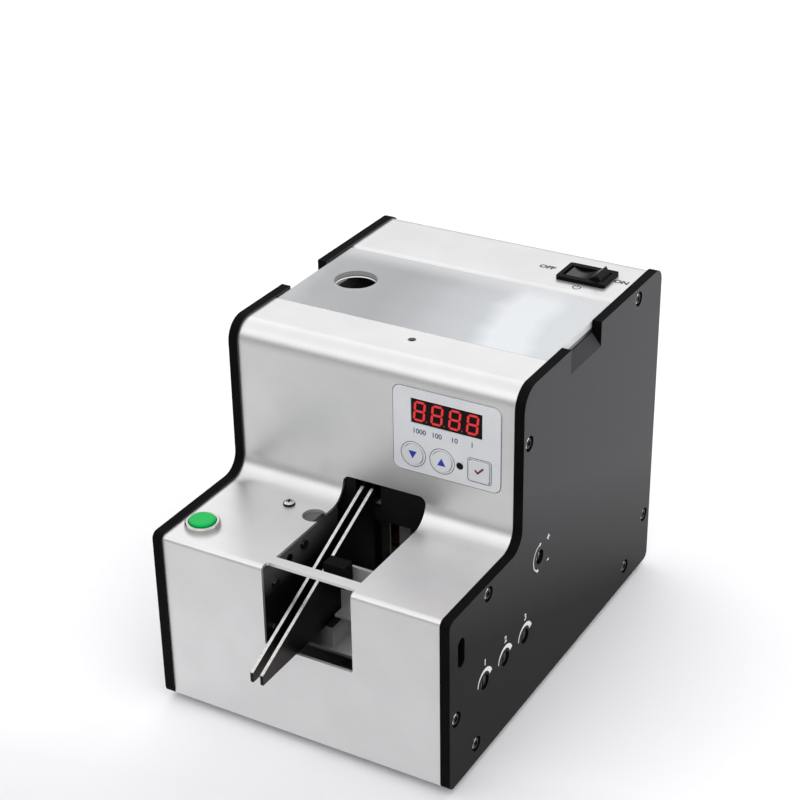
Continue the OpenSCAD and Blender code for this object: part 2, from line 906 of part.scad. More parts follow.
// An upright plate from x0 with a foot turned inwards along the pan
module upright(x0, foot_x0, foot_x1) {
    slab(x0, x0 + bracket_t, hopper_y - bracket_w / 2, hopper_y + bracket_w / 2, pan_t, bracket_top);
    slab(foot_x0, foot_x1, hopper_y - bracket_w / 2, hopper_y + bracket_w / 2, pan_t, pan_t + bracket_t);
}

module drive_bracket() {
    color("gainsboro") place() difference() {
        upright(bracket_x0, hopper_out0 - eps, hopper_out0 + bracket_foot);
        rod_x(bracket_x0 - 1, hopper_out0 + 1, hopper_y, shaft_z, bush_d);
        rod_x(bracket_x0 - 1, hopper_out0 + 1, hopper_y, motor_z, motor_shaft_d + 3);
    }
}

module bearing_bracket() {
    color("gainsboro") place() difference() {
        upright(hopper_out1, hopper_out1 - bracket_foot, hopper_out1 + eps);
        rod_x(hopper_out1 - 1, bracket_x1 + 1, hopper_y, shaft_z, bush_d);
    }
}

// Vibrating track
module track_blade(x0) {
    along_x(x0, x0 + blade_t) polygon([
        [track_y0, track_top(track_y0) - rail_h],
        [track_y1, track_top(track_y1) - rail_h],
        [track_y1, track_top(track_y1)],
        [track_y0, track_top(track_y0)]
    ]);
}

module track_rails() {
    color("darkgray") place() {
        track_blade(track_x - track_half);
        track_blade(track_x + blade_x);
    }
}

module track_carrier() {
    seat0 = track_top(block_y0) - rail_h;
    seat1 = track_top(block_y1) - rail_h;
    underside = seat0 - carrier_h;
    rib_h = rail_h * 0.4;
    color("gray") place() {
        along_x(track_x - carrier_half, track_x + carrier_half) polygon([
            [block_y0, underside],
            [block_y1, underside],
            [block_y1, seat1],
            [block_y0, seat0]
        ]);
        along_x(track_x - blade_x, track_x + blade_x) polygon([
            [block_y0, seat0 - 1],
            [block_y1, seat1 - 1],
            [block_y1, seat1 + rib_h],
            [block_y0, seat0 + rib_h]
        ]);
        slab(track_x - carrier_half, track_x + carrier_half, block_y0, block_y0 + armature_t,
            vibrator_top + armature_rise, underside + 1);
    }
}

module leaf_springs() {
    spring_top = track_top(block_y0) - rail_h - 1;
    color("lightsteelblue") place()
        for (y = [block_y0 - spring_t, block_y1])
            slab(track_x - spring_w / 2, track_x + spring_w / 2, y, y + spring_t, pan_t + 3, spring_top);
}

module vibrator_base() {
    color("slategray") place()
        slab(track_x - block_half, track_x + block_half, block_y0, block_y1, pan_t, vibrator_top);
}

module vibrator_coil() {
    core_half = 5.5;
    core_h = 24;
    core_back = 1.5;
    wrap_r = 3;
    wrap_z0 = 4;
    core_y0 = block_y0 + armature_t + magnet_gap;
    core_y1 = block_y1 - core_back;
    core_z1 = vibrator_top + core_h;
    color("chocolate") place() {
        slab(track_x - core_half, track_x + core_half, core_y0, core_y1, vibrator_top, core_z1);
        along_y(core_y0 + 2, core_y1 - 1)
            round_rect(track_x - block_half, vibrator_top + wrap_z0, track_x + block_half, core_z1 - 2,
                [wrap_r, wrap_r, wrap_r, wrap_r]);
    }
}

// Gate adjuster
module gate_post() {
    color("slategray") place() difference() {
        slab(gate_post_x0, gate_post_x0 + gate_post_w, gate_y - gate_post_half, gate_y + gate_post_half,
            pan_t, gate_z + gate_post_head);
        rod_x(gate_post_x0 - 1, gate_post_x0 + gate_post_w + 1, gate_y, gate_z, gate_shaft_d + 2 * run);
    }
}

module gate_shaft() {
    arm_half = 1.5;
    hub_d = 7;
    arm_x1 = gate_post_x0 - gate_play;
    arm_x0 = arm_x1 - gate_arm_t;
    head_x0 = inner_x - 2;
    color("silver") place() translate([0, gate_y, gate_z]) {
        rod_x(arm_x0, head_x0 + 1, 0, 0, gate_shaft_d);
        rod_x(arm_x0, arm_x1, 0, 0, hub_d);
        slab(arm_x0, arm_x1, -arm_half, arm_half, 0, gate_arm);
        slab(track_x - track_half, arm_x0 + 1, -arm_half, arm_half, gate_arm - gate_finger_h, gate_arm);
        slotted_head(head_x0);
    }
}

// A round adjuster head with a screwdriver slot, ending just inside the right plate's face
module slotted_head(x0) {
    x1 = outer_x - rotor_recess;
    slot_half = 0.5;
    slot_depth = 1.2;
    difference() {
        rod_x(x0, x1, 0, 0, rotor_d);
        slab(x1 - slot_depth, x1 + 1, -slot_half, slot_half, -rotor_d, rotor_d);
    }
}

// Control panel
module control_panel() {
    inset = boss_d / 2;
    color("white") place() difference() {
        union() {
            along_y(panel_face, panel_back)
                round_rect(panel_x0, panel_z0, panel_x1, panel_z1, [panel_r, panel_r, panel_r, panel_r]);
            along_y(riser_in, panel_back)
                round_rect(panel_x0 - panel_flange, panel_z0 - panel_flange, panel_x1 + panel_flange,
                    panel_z1 + panel_flange, [panel_r, panel_r, panel_r, panel_r]);
            for (x = [panel_x0 + inset, panel_x1 - inset], z = [panel_z0 + inset, panel_z1 - inset])
                rod_y(panel_back - 0.5, board_y, x, z, boss_d);
        }
        slab(display_x - display_w / 2, display_x + display_w / 2, panel_face - 1, panel_back + 1,
            display_z - display_h / 2, display_z + display_h / 2);
        for (x = [down_x, up_x]) rod_y(panel_face - 1, panel_back + 1, x, key_z, key_d + gap);
        slab(set_x - (key_d + gap) / 2, set_x + (key_d + gap) / 2, panel_face - 1, panel_back + 1,
            key_z - (key_d + gap) / 2, key_z + (key_d + gap) / 2);
        rod_y(panel_face - 1, panel_back + 1, led_x, key_z, led_d + 2 * run);
    }
}

module display_module() {
    color("black") place()
        slab(display_x - display_w / 2 + run, display_x + display_w / 2 - run,
            panel_face + display_recess, board_y,
            display_z - display_h / 2 + run, display_z + display_h / 2 - run);
}

module status_led() {
    color("black") place() rod_y(panel_face + led_recess, board_y, led_x, key_z, led_d);
}

module round_key(x) {
    rod_y(panel_face - key_proud, key_seat + key_flange_t, x, key_z, key_d);
    rod_y(key_seat, key_seat + key_flange_t, x, key_z, key_d + 2 * key_flange);
}

module down_button() {
    color("gainsboro") place() round_key(down_x);
}

module up_button() {
    color("gainsboro") place() round_key(up_x);
}

module set_button() {
    half = key_d / 2;
    wide = half + key_flange / 2;
    color("gainsboro") place() {
        along_y(panel_face - key_proud, key_seat + key_flange_t)
            round_rect(set_x - half, key_z - half, set_x + half, key_z + half, [1, 1, 1, 1]);
        slab(set_x - wide, set_x + wide, key_seat, key_seat + key_flange_t, key_z - wide, key_z + wide);
    }
}

module control_board() {
    tact = 6;
    tact_play = 0.2;
    tact_y = key_seat + key_flange_t + key_travel + tact_play;
    color("darkgreen") place() {
        slab(panel_x0, panel_x1, board_y, board_y + board_t, panel_z0, panel_z1);
        for (x = [down_x, up_x, set_x])
            slab(x - tact / 2, x + tact / 2, tact_y, board_y + eps, key_z - tact / 2, key_z + tact / 2);
    }
}

// Rocker switch
module switch_housing() {
    pocket_half = rocker_half + rocker_play;
    pocket_w = rocker_w + 2 * rocker_play;
    color("black") place() translate([switch_x, switch_y, 0]) difference() {
        union() {
            along_z(top_z, top_z + bezel_h)
                round_rect(-switch_w / 2, -switch_d / 2, switch_w / 2, switch_d / 2, [1, 1, 1, 1]);
            slab(-snap_half[0], snap_half[0], -snap_half[1], snap_half[1],
                top_z - switch_depth, top_z + eps);
            for (x = [-terminal_pitch, 0, terminal_pitch])
                slab(x - terminal[0] / 2, x + terminal[0] / 2, -terminal[1] / 2, terminal[1] / 2,
                    top_z - switch_depth - terminal[2], top_z - switch_depth + 1);
        }
        slab(-pocket_half, pocket_half, -pocket_w / 2, pocket_w / 2, pocket_z, top_z + bezel_h + 1);
        rod_y(-pocket_w / 2 - 1, pocket_w / 2 + 1, 0, pivot_z, pivot_d + 2 * run);
    }
}

// The rocker rests with its ON end, towards +x, raised; its top is hollowed by one wide arc
module power_rocker() {
    tip_x = rocker_half - rocker_tip;
    sag = rocker_top - rocker_dip;
    arc_r = (tip_x * tip_x + sag * sag) / (2 * sag);
    color("black") place() translate([switch_x, switch_y, pivot_z]) rotate([0, -rocker_tilt, 0]) {
        along_y(-rocker_w / 2, rocker_w / 2) difference() {
            polygon([
                [-rocker_half, -rocker_side],
                [0, -rocker_keel],
                [rocker_half, -rocker_side],
                [tip_x, rocker_top],
                [-tip_x, rocker_top]
            ]);
            translate([0, rocker_dip + arc_r]) circle(arc_r);
        }
        rod_y(-rocker_w / 2 - 1, rocker_w / 2 + 1, 0, 0, pivot_d);
    }
}

// Start button
module start_button_body() {
    color("gainsboro") place() translate([start_x, start_y, shelf_z]) rotate_extrude()
        polygon([
            [cap_bore_d / 2, start_bezel_h],
            [start_d / 2 - 0.7, start_bezel_h],
            [start_d / 2 - 0.2, start_bezel_h - 0.5],
            [start_d / 2, 0],
            [barrel_d / 2, 0],
            [barrel_d / 2, barrel_bottom - shelf_z],
            [0, barrel_bottom - shelf_z],
            [0, start_bezel_h - cap_skirt - start_travel - 1],
            [cap_bore_d / 2, start_bezel_h - cap_skirt - start_travel - 1]
        ]);
}

module start_button_cap() {
    crown = cap_crown;
    color("limegreen") place() translate([start_x, start_y, shelf_z + start_bezel_h]) rotate_extrude() {
        translate([0, -cap_skirt]) square([cap_d / 2, cap_skirt + cap_rise - crown]);
        translate([0, cap_rise - crown - eps]) square([cap_d / 2 - crown, crown + eps]);
        translate([cap_d / 2 - crown, cap_rise - crown]) circle(crown);
    }
}

module panel_nuts() {
    color("gold") place() {
        translate([start_x, start_y, shelf_in - nut_h]) difference() {
            cylinder(d = nut_d, h = nut_h, $fn = 6);
            translate([0, 0, -1]) cylinder(d = barrel_d, h = nut_h + 2);
        }
        translate([jack_x, back_in, jack_z]) rotate([90, 0, 0]) difference() {
            cylinder(d = jack_d + 5, h = nut_h, $fn = 6);
            translate([0, 0, -1]) cylinder(d = jack_d, h = nut_h + 2);
        }
    }
}

// Chute
module chute_blade(x0) {
    along_x(x0, x0 + blade_t) polygon([
        [-chute_reach, chute_z0],
        [chute_y1, chute_z0],
        [chute_y1, chute_top(chute_y1)],
        [-chute_reach, chute_top(-chute_reach)]
    ]);
}

module chute_left_blade() {
    color("dimgray") place() chute_blade(track_x - track_half);
}

module chute_right_blade() {
    color("dimgray") place() chute_blade(track_x + blade_x);
}

module chute_spacer() {
    color("gray") place() {
        slab(track_x - track_half - slot_margin, track_x + track_half + slot_margin,
            tray_y0 + 1, tray_y1, tray_z, chute_z0);
        slab(track_x - blade_x, track_x + blade_x, tray_y0 + 1, tray_y1, chute_z0 - 1, chute_z0 + spacer_h);
    }
}

module inner_tray() {
    x0 = left_guard_x + tray_side[0];
    x1 = right_guard_x - tray_side[1];
    color("darkgray") place() difference() {
        slab(x0, x1, tray_y0, tray_y1, pan_t, tray_z);
        slab(x0 + tray_t, x1 - tray_t, tray_y0 - 1, tray_y1 + 1, pan_t - 1, tray_z - tray_t);
    }
}

// An upright wall beside the chute with a flange turned out under the shelf
module guard(x, out) {
    wall0 = out < 0 ? x - guard_t : x;
    flange0 = out < 0 ? x - guard_flange_w : x;
    slab(wall0, wall0 + guard_t, front_in, riser_y, guard_z0, shelf_in);
    slab(flange0, flange0 + guard_flange_w, guard_flange_y0, guard_flange_y1, shelf_in - guard_t, shelf_in);
}

module left_guard() {
    color("black") place() difference() {
        guard(left_guard_x, -1);
        rod_z(shelf_in - 5, shelf_in + 1, guard_screw_x, guard_screw_y, screw_d);
        for (b = guard_bolts) rod_x(left_guard_x - 5, left_guard_x + 1, b[0], b[1], bolt_d);
        rod_x(left_guard_x - 5, left_guard_x + 1, sensor_y, sensor_z, emitter_d);
    }
}

module right_guard() {
    color("black") place() guard(right_guard_x, 1);
}

// A pan head with a cross recess, standing on the origin
module pan_head() {
    difference() {
        rotate_extrude() polygon([
            [0, 0],
            [pan_head_d / 2, 0],
            [pan_head_d / 2 - pan_head_h / 8, pan_head_h * 0.6],
            [pan_head_d * 0.3, pan_head_h],
            [0, pan_head_h]
        ]);
        for (turn = [0, 90]) rotate(turn + cross_turn)
            slab(-cross_l / 2, cross_l / 2, -cross_w / 2, cross_w / 2,
                pan_head_h - cross_depth, pan_head_h + 1);
    }
}

module guard_screws() {
    color("silver") place() {
        translate([guard_screw_x, guard_screw_y, shelf_z]) {
            pan_head();
            rod_z(shelf_in - shelf_z - 4, 0, 0, 0, screw_d);
        }
        for (b = guard_bolts) {
            rod_x(left_guard_x, left_guard_x + bolt_head_h, b[0], b[1], bolt_head_d);
            rod_x(left_guard_x - guard_t - bolt_tail, left_guard_x, b[0], b[1], bolt_d);
        }
    }
}

module count_sensor() {
    emitter_x0 = left_guard_x - guard_t - emitter_l;
    receiver_x0 = track_x + track_half + sensor_gap;
    color("black") place() {
        rod_x(emitter_x0, left_guard_x + emitter_nose, sensor_y, sensor_z, emitter_d);
        rod_x(emitter_x0, left_guard_x - guard_t, sensor_y, sensor_z, emitter_d + 2);
        slab(receiver_x0, receiver_x0 + sensor_w, sensor_y - sensor_l / 2, sensor_y + sensor_l / 2,
            sensor_z - sensor_h / 2, sensor_z + sensor_h / 2);
    }
}

// A folded bracket on the right guard: a ledge at the bottom and a back that carries the receiver
module sensor_bracket() {
    back_y = sensor_y + sensor_l / 2;
    ledge_z0 = ledge_top - sensor_plate_t;
    back_z1 = sensor_z + sensor_h / 4;
    color("darkgray") place() {
        slab(ledge_x, right_guard_x, tray_y0, back_y + sensor_plate_t, ledge_z0, ledge_top);
        slab(ledge_x, right_guard_x, back_y, back_y + sensor_plate_t, ledge_z0, back_z1);
        slab(right_guard_x - sensor_plate_t, right_guard_x, tray_y0, back_y + sensor_plate_t,
            ledge_z0, back_z1);
    }
}

module track_shield() {
    half = track_half + slot_margin;
    color("black") place() difference() {
        slab(opening_x0 - shield_side[0], opening_x1 + shield_side[1], riser_in, riser_in + shield_t,
            shelf_in - shield_drop, panel_z0 - panel_flange - shield_gap);
        slab(track_x - half, track_x + half, riser_in - 1, riser_in + shield_t + 1,
            track_z - rail_h - slot_margin / 2, body_h);
    }
}

// Adjusters
module board_bracket() {
    x1 = trimmer_board_x;
    side = 3;
    foot = 10;
    y0 = trimmer_ys[0] - side;
    y1 = trimmer_ys[2] + side;
    color("gainsboro") place() {
        slab(x1 - board_t, x1, y0, y1, pan_t, trimmer_z + trimmer_board_half);
        slab(x1 - foot, x1 - board_t + eps, y0, y1, pan_t, pan_t + board_t);
    }
}

module trimmer_board() {
    color("darkgreen") place()
        slab(trimmer_board_x, trimmer_board_x + board_t,
            trimmer_ys[0] - trimmer_board_end, trimmer_ys[2] + trimmer_board_end,
            trimmer_z - trimmer_board_half, trimmer_z + trimmer_board_half);
}

module trimmer_bodies() {
    half = trimmer_side / 2;
    x0 = trimmer_board_x + board_t;
    color("royalblue") place()
        for (y = trimmer_ys)
            slab(x0, x0 + trimmer_h, y - half, y + half, trimmer_z - half, trimmer_z + half);
}

module trimmer(index) {
    translate([0, trimmer_ys[index], trimmer_z])
        slotted_head(trimmer_board_x + board_t + trimmer_h + trimmer_play);
}

module speed_trimmer() {
    color("ivory") place() trimmer(0);
}

module vibrator_trimmer() {
    color("ivory") place() trimmer(1);
}

module roller_trimmer() {
    color("ivory") place() trimmer(2);
}

// Power inlet and driver board
module dc_jack() {
    color("black") place() translate([jack_x, back_face + jack_flange_t, jack_z]) rotate([90, 0, 0]) {
        difference() {
            union() {
                cylinder(d = jack_flange_d, h = jack_flange_t);
                cylinder(d = jack_d, h = jack_flange_t + jack_l);
            }
            translate([0, 0, -1]) cylinder(d = jack_bore_d, h = jack_bore_l + 1);
        }
        cylinder(d = jack_pin_d, h = jack_pin_l);
    }
}

module driver_board() {
    inset = 4;
    standoff_d = 5.5;
    capacitor = [10, 16];
    heat_sink = [14, 6, 15];
    terminals = [28, 7, 9];
    capacitor_at = [12, 9];
    heat_sink_at = [22, 6];
    terminals_at = [20, 8];
    board_top = driver_z + board_t;
    color("darkgreen") place() {
        slab(driver_x0, driver_x1, driver_y0, driver_y1, driver_z, board_top);
        for (x = [driver_x0 + inset, driver_x1 - inset], y = [driver_y0 + inset, driver_y1 - inset])
            rod_z(pan_t, driver_z + eps, x, y, standoff_d);
        rod_z(board_top - eps, board_top + capacitor[1],
            driver_x0 + capacitor_at[0], driver_y0 + capacitor_at[1], capacitor[0]);
        translate([driver_x0 + heat_sink_at[0], driver_y0 + heat_sink_at[1], board_top - eps])
            cube(heat_sink + [0, 0, eps]);
        translate([driver_x0 + terminals_at[0], driver_y1 - terminals_at[1], board_top - eps])
            cube(terminals + [0, 0, eps]);
    }
}

left_side_plate();
right_side_plate();
front_cover();
rear_cover();
base_pan();
rubber_feet();
case_screws();
hopper_lid();
hopper();
control_panel();
display_module();
status_led();
down_button();
up_button();
set_button();
control_board();
start_button_body();
start_button_cap();
panel_nuts();
switch_housing();
power_rocker();
chute_left_blade();
chute_right_blade();
chute_spacer();
inner_tray();
left_guard();
right_guard();
guard_screws();
count_sensor();
sensor_bracket();
track_shield();
track_rails();
track_carrier();
leaf_springs();
vibrator_base();
vibrator_coil();
gate_post();
gate_shaft();
drive_bracket();
bearing_bracket();
shaft_bushes();
roller_shaft();
left_roller();
right_roller();
roller_gear();
motor_pinion();
roller_motor();
brush_shaft();
brush_wheel();
brush_bushes();
brush_belt();
trimmer_board();
trimmer_bodies();
speed_trimmer();
vibrator_trimmer();
roller_trimmer();
board_bracket();
dc_jack();
driver_board();
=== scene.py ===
"""Looks of a screw counting machine: finishes, print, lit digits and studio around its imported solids."""
import json
import math

import bmesh
import bpy
from mathutils import Matrix, Vector


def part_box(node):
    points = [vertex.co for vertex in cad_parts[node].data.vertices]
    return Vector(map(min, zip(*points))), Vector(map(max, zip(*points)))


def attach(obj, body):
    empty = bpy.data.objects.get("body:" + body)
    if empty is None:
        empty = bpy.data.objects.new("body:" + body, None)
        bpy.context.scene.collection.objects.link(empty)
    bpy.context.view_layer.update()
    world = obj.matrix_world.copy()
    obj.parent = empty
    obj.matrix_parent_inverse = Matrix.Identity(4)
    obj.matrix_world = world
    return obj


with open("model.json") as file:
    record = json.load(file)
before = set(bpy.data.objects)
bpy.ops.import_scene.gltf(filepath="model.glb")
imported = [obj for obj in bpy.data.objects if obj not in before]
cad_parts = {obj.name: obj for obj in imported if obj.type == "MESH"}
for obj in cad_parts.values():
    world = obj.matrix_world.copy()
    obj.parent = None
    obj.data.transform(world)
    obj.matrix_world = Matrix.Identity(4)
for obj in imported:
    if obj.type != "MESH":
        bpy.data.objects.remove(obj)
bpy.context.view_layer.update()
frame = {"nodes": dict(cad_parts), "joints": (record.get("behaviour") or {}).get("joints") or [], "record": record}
nodes = frame["nodes"]

MM = 0.001
RIGHTWARD = (1.0, 0.0, 0.0)
BACKWARD = (0.0, 1.0, 0.0)
UPWARD = (0.0, 0.0, 1.0)


# Camera, solved from the straight edges of the case
LENS_MM = 83.60
SENSOR_MM = 36.0
AZIMUTH = math.radians(30.101)
ELEVATION = math.radians(27.773)
ROLL = math.radians(-0.934)
AIM = Vector((0.0, 9.75, 71.25)) * MM
DISTANCE = 734.8 * MM
OFFSET_RIGHT = 6.474 * MM
OFFSET_UP = -30.84 * MM
CLIP_NEAR = 0.01
CLIP_FAR = 100.0


def add_camera():
    back = Vector((
        math.sin(AZIMUTH) * math.cos(ELEVATION),
        -math.cos(AZIMUTH) * math.cos(ELEVATION),
        math.sin(ELEVATION),
    ))
    level = Vector((math.cos(AZIMUTH), math.sin(AZIMUTH), 0.0))
    upright = back.cross(level)
    right = level * math.cos(ROLL) + upright * math.sin(ROLL)
    up = upright * math.cos(ROLL) - level * math.sin(ROLL)
    data = bpy.data.cameras.new("photo_camera")
    data.lens = LENS_MM
    data.sensor_width = SENSOR_MM
    data.clip_start = CLIP_NEAR
    data.clip_end = CLIP_FAR
    camera = bpy.data.objects.new("photo_camera", data)
    turn = Matrix((right, up, back)).transposed().to_4x4()
    turn.translation = AIM + back * DISTANCE - right * OFFSET_RIGHT - up * OFFSET_UP
    camera.matrix_world = turn
    bpy.context.scene.collection.objects.link(camera)
    bpy.context.scene.camera = camera


add_camera()


# Material helpers: patterns are laid out in the machine's own frame, in metres
EVEN = (1.0, 1.0, 1.0)
NOISE_DETAIL = 3.0
NOISE_LOW = 0.3
NOISE_HIGH = 0.7
HALFWAY = 0.5
COOL = (1.0, 1.0, 1.01)

# Places of the colour sockets on a mix node
MIX_SHARE = 0
MIX_FIRST = 6
MIX_SECOND = 7
MIX_RESULT = 2


def socket_name(key):
    """The shader's name of a socket, from a keyword such as specular_ior_level."""
    return key.replace("_", " ").title().replace("Ior", "IOR")


def new_material(name, **values):
    """A material with constants set on its shader's sockets."""
    material = bpy.data.materials.new(name)
    material.use_nodes = True
    tree = material.node_tree
    shader = tree.nodes["Principled BSDF"]
    for key, value in values.items():
        shader.inputs[socket_name(key)].default_value = value
    return material, tree, shader


def noise(tree, scale, stretch=EVEN):
    """A noise pattern with features of about 1/scale metres, stretched along an axis."""
    place = tree.nodes.new("ShaderNodeTexCoord")
    mapping = tree.nodes.new("ShaderNodeMapping")
    mapping.inputs["Scale"].default_value = stretch
    pattern = tree.nodes.new("ShaderNodeTexNoise")
    pattern.inputs["Scale"].default_value = scale
    pattern.inputs["Detail"].default_value = NOISE_DETAIL
    tree.links.new(place.outputs["Object"], mapping.inputs["Vector"])
    tree.links.new(mapping.outputs["Vector"], pattern.inputs["Vector"])
    return pattern.outputs["Fac"]


def spread(tree, pattern, low, high):
    """The middle of a noise pattern spread from low to high."""
    node = tree.nodes.new("ShaderNodeMapRange")
    node.inputs["From Min"].default_value = NOISE_LOW
    node.inputs["From Max"].default_value = NOISE_HIGH
    node.inputs["To Min"].default_value = low
    node.inputs["To Max"].default_value = high
    tree.links.new(pattern, node.inputs["Value"])
    return node.outputs["Result"]


def along(tree, way, start, end, rule="LINEAR"):
    """A rise from 0 to 1 along a direction, from start to end in metres."""
    place = tree.nodes.new("ShaderNodeTexCoord")
    reach = tree.nodes.new("ShaderNodeVectorMath")
    reach.operation = "DOT_PRODUCT"
    reach.inputs[1].default_value = way
    rise = tree.nodes.new("ShaderNodeMapRange")
    rise.interpolation_type = rule
    rise.inputs["From Min"].default_value = start
    rise.inputs["From Max"].default_value = end
    tree.links.new(place.outputs["Object"], reach.inputs[0])
    tree.links.new(reach.outputs["Value"], rise.inputs["Value"])
    return rise.outputs["Result"]


def calculate(tree, operation, *terms):
    """A sum or product of patterns and numbers."""
    node = tree.nodes.new("ShaderNodeMath")
    node.operation = operation
    for socket, term in zip(node.inputs, terms):
        if isinstance(term, float):
            socket.default_value = term
        else:
            tree.links.new(term, socket)
    return node.outputs["Value"]


def ramp(tree, pattern, stops):
    """Colours by position along a pattern."""
    node = tree.nodes.new("ShaderNodeValToRGB")
    elements = node.color_ramp.elements
    while len(elements) < len(stops):
        elements.new(HALFWAY)
    for element, (position, colour) in zip(elements, stops):
        element.position = position
        element.color = (*colour, 1.0)
    tree.links.new(pattern, node.inputs["Fac"])
    return node.outputs["Color"]


def greys(tree, pattern, stops, cast=COOL):
    """Greys by position along a pattern, with a slight cast."""
    return ramp(tree, pattern, [(position, [level * share for share in cast]) for position, level in stops])


def mix(tree, share, pattern, colour):
    """A pattern's colours, mixed towards one colour by a share."""
    node = tree.nodes.new("ShaderNodeMix")
    node.data_type = "RGBA"
    node.inputs[MIX_SECOND].default_value = (*colour, 1.0)
    tree.links.new(share, node.inputs[MIX_SHARE])
    tree.links.new(pattern, node.inputs[MIX_FIRST])
    return node.outputs[MIX_RESULT]


def tint(tree, shader, pattern, first, second):
    """Colours the shader between two colours by the middle of a pattern."""
    stops = ((NOISE_LOW, first), (NOISE_HIGH, second))
    tree.links.new(ramp(tree, pattern, stops), shader.inputs["Base Color"])


def roughen(tree, shader, rough, grain, depth, stretch=EVEN):
    """Gives the shader uneven gloss and a bump of about depth metres, both from one fine grain."""
    fine = noise(tree, grain, stretch)
    tree.links.new(spread(tree, fine, *rough), shader.inputs["Roughness"])
    bump = tree.nodes.new("ShaderNodeBump")
    bump.inputs["Strength"].default_value = 1.0
    bump.inputs["Distance"].default_value = depth
    tree.links.new(fine, bump.inputs["Height"])
    tree.links.new(bump.outputs["Normal"], shader.inputs["Normal"])


def finish(name, first, second, rough, grain, depth, mottle=60.0, grade=None, stretch=EVEN, **values):
    """A finish with a fine grain and two colours, mottled or graded along a direction."""
    material, tree, shader = new_material(name, **values)
    pattern = along(tree, *grade) if grade else noise(tree, mottle)
    tint(tree, shader, pattern, first, second)
    roughen(tree, shader, rough, grain, depth, stretch)
    return material


# Grains stretched by brushing and winding
BRUSHED_X = (0.03, 1.0, 1.0)
BRUSHED_Y = (1.0, 0.04, 1.0)
WOUND_Y = (1.0, 0.02, 1.0)

# Grades of painted light and shade: a direction and a stretch of it, over the middle of which the first colour
# gives way to the second
# Painted shade on the side plates, black low at the front and paler high at the back
PLATE_WAY = (0.0, 0.35, 0.94)
PLATE_PAINTED_SHADE = (PLATE_WAY, -10.0 * MM, 125.0 * MM)
# Painted shade on the chute blades, darker further back inside the case
BLADE_PAINTED_SHADE = (BACKWARD, -104.0 * MM, -72.0 * MM)
# Painted light and shade on the dark guard, black low down and paler towards the top
GUARD_PAINTED_SHADE = (UPWARD, 50.0 * MM, 78.0 * MM)
# Painted light on the tray floor, black on the left and pale on the right
TRAY_PAINTED_LIGHT = (RIGHTWARD, -20.0 * MM, 34.0 * MM)
# Painted shadow on the spacer's right side, pale low down and black at the top
SPACER_PAINTED_SHADOW = (UPWARD, 30.0 * MM, 58.0 * MM)

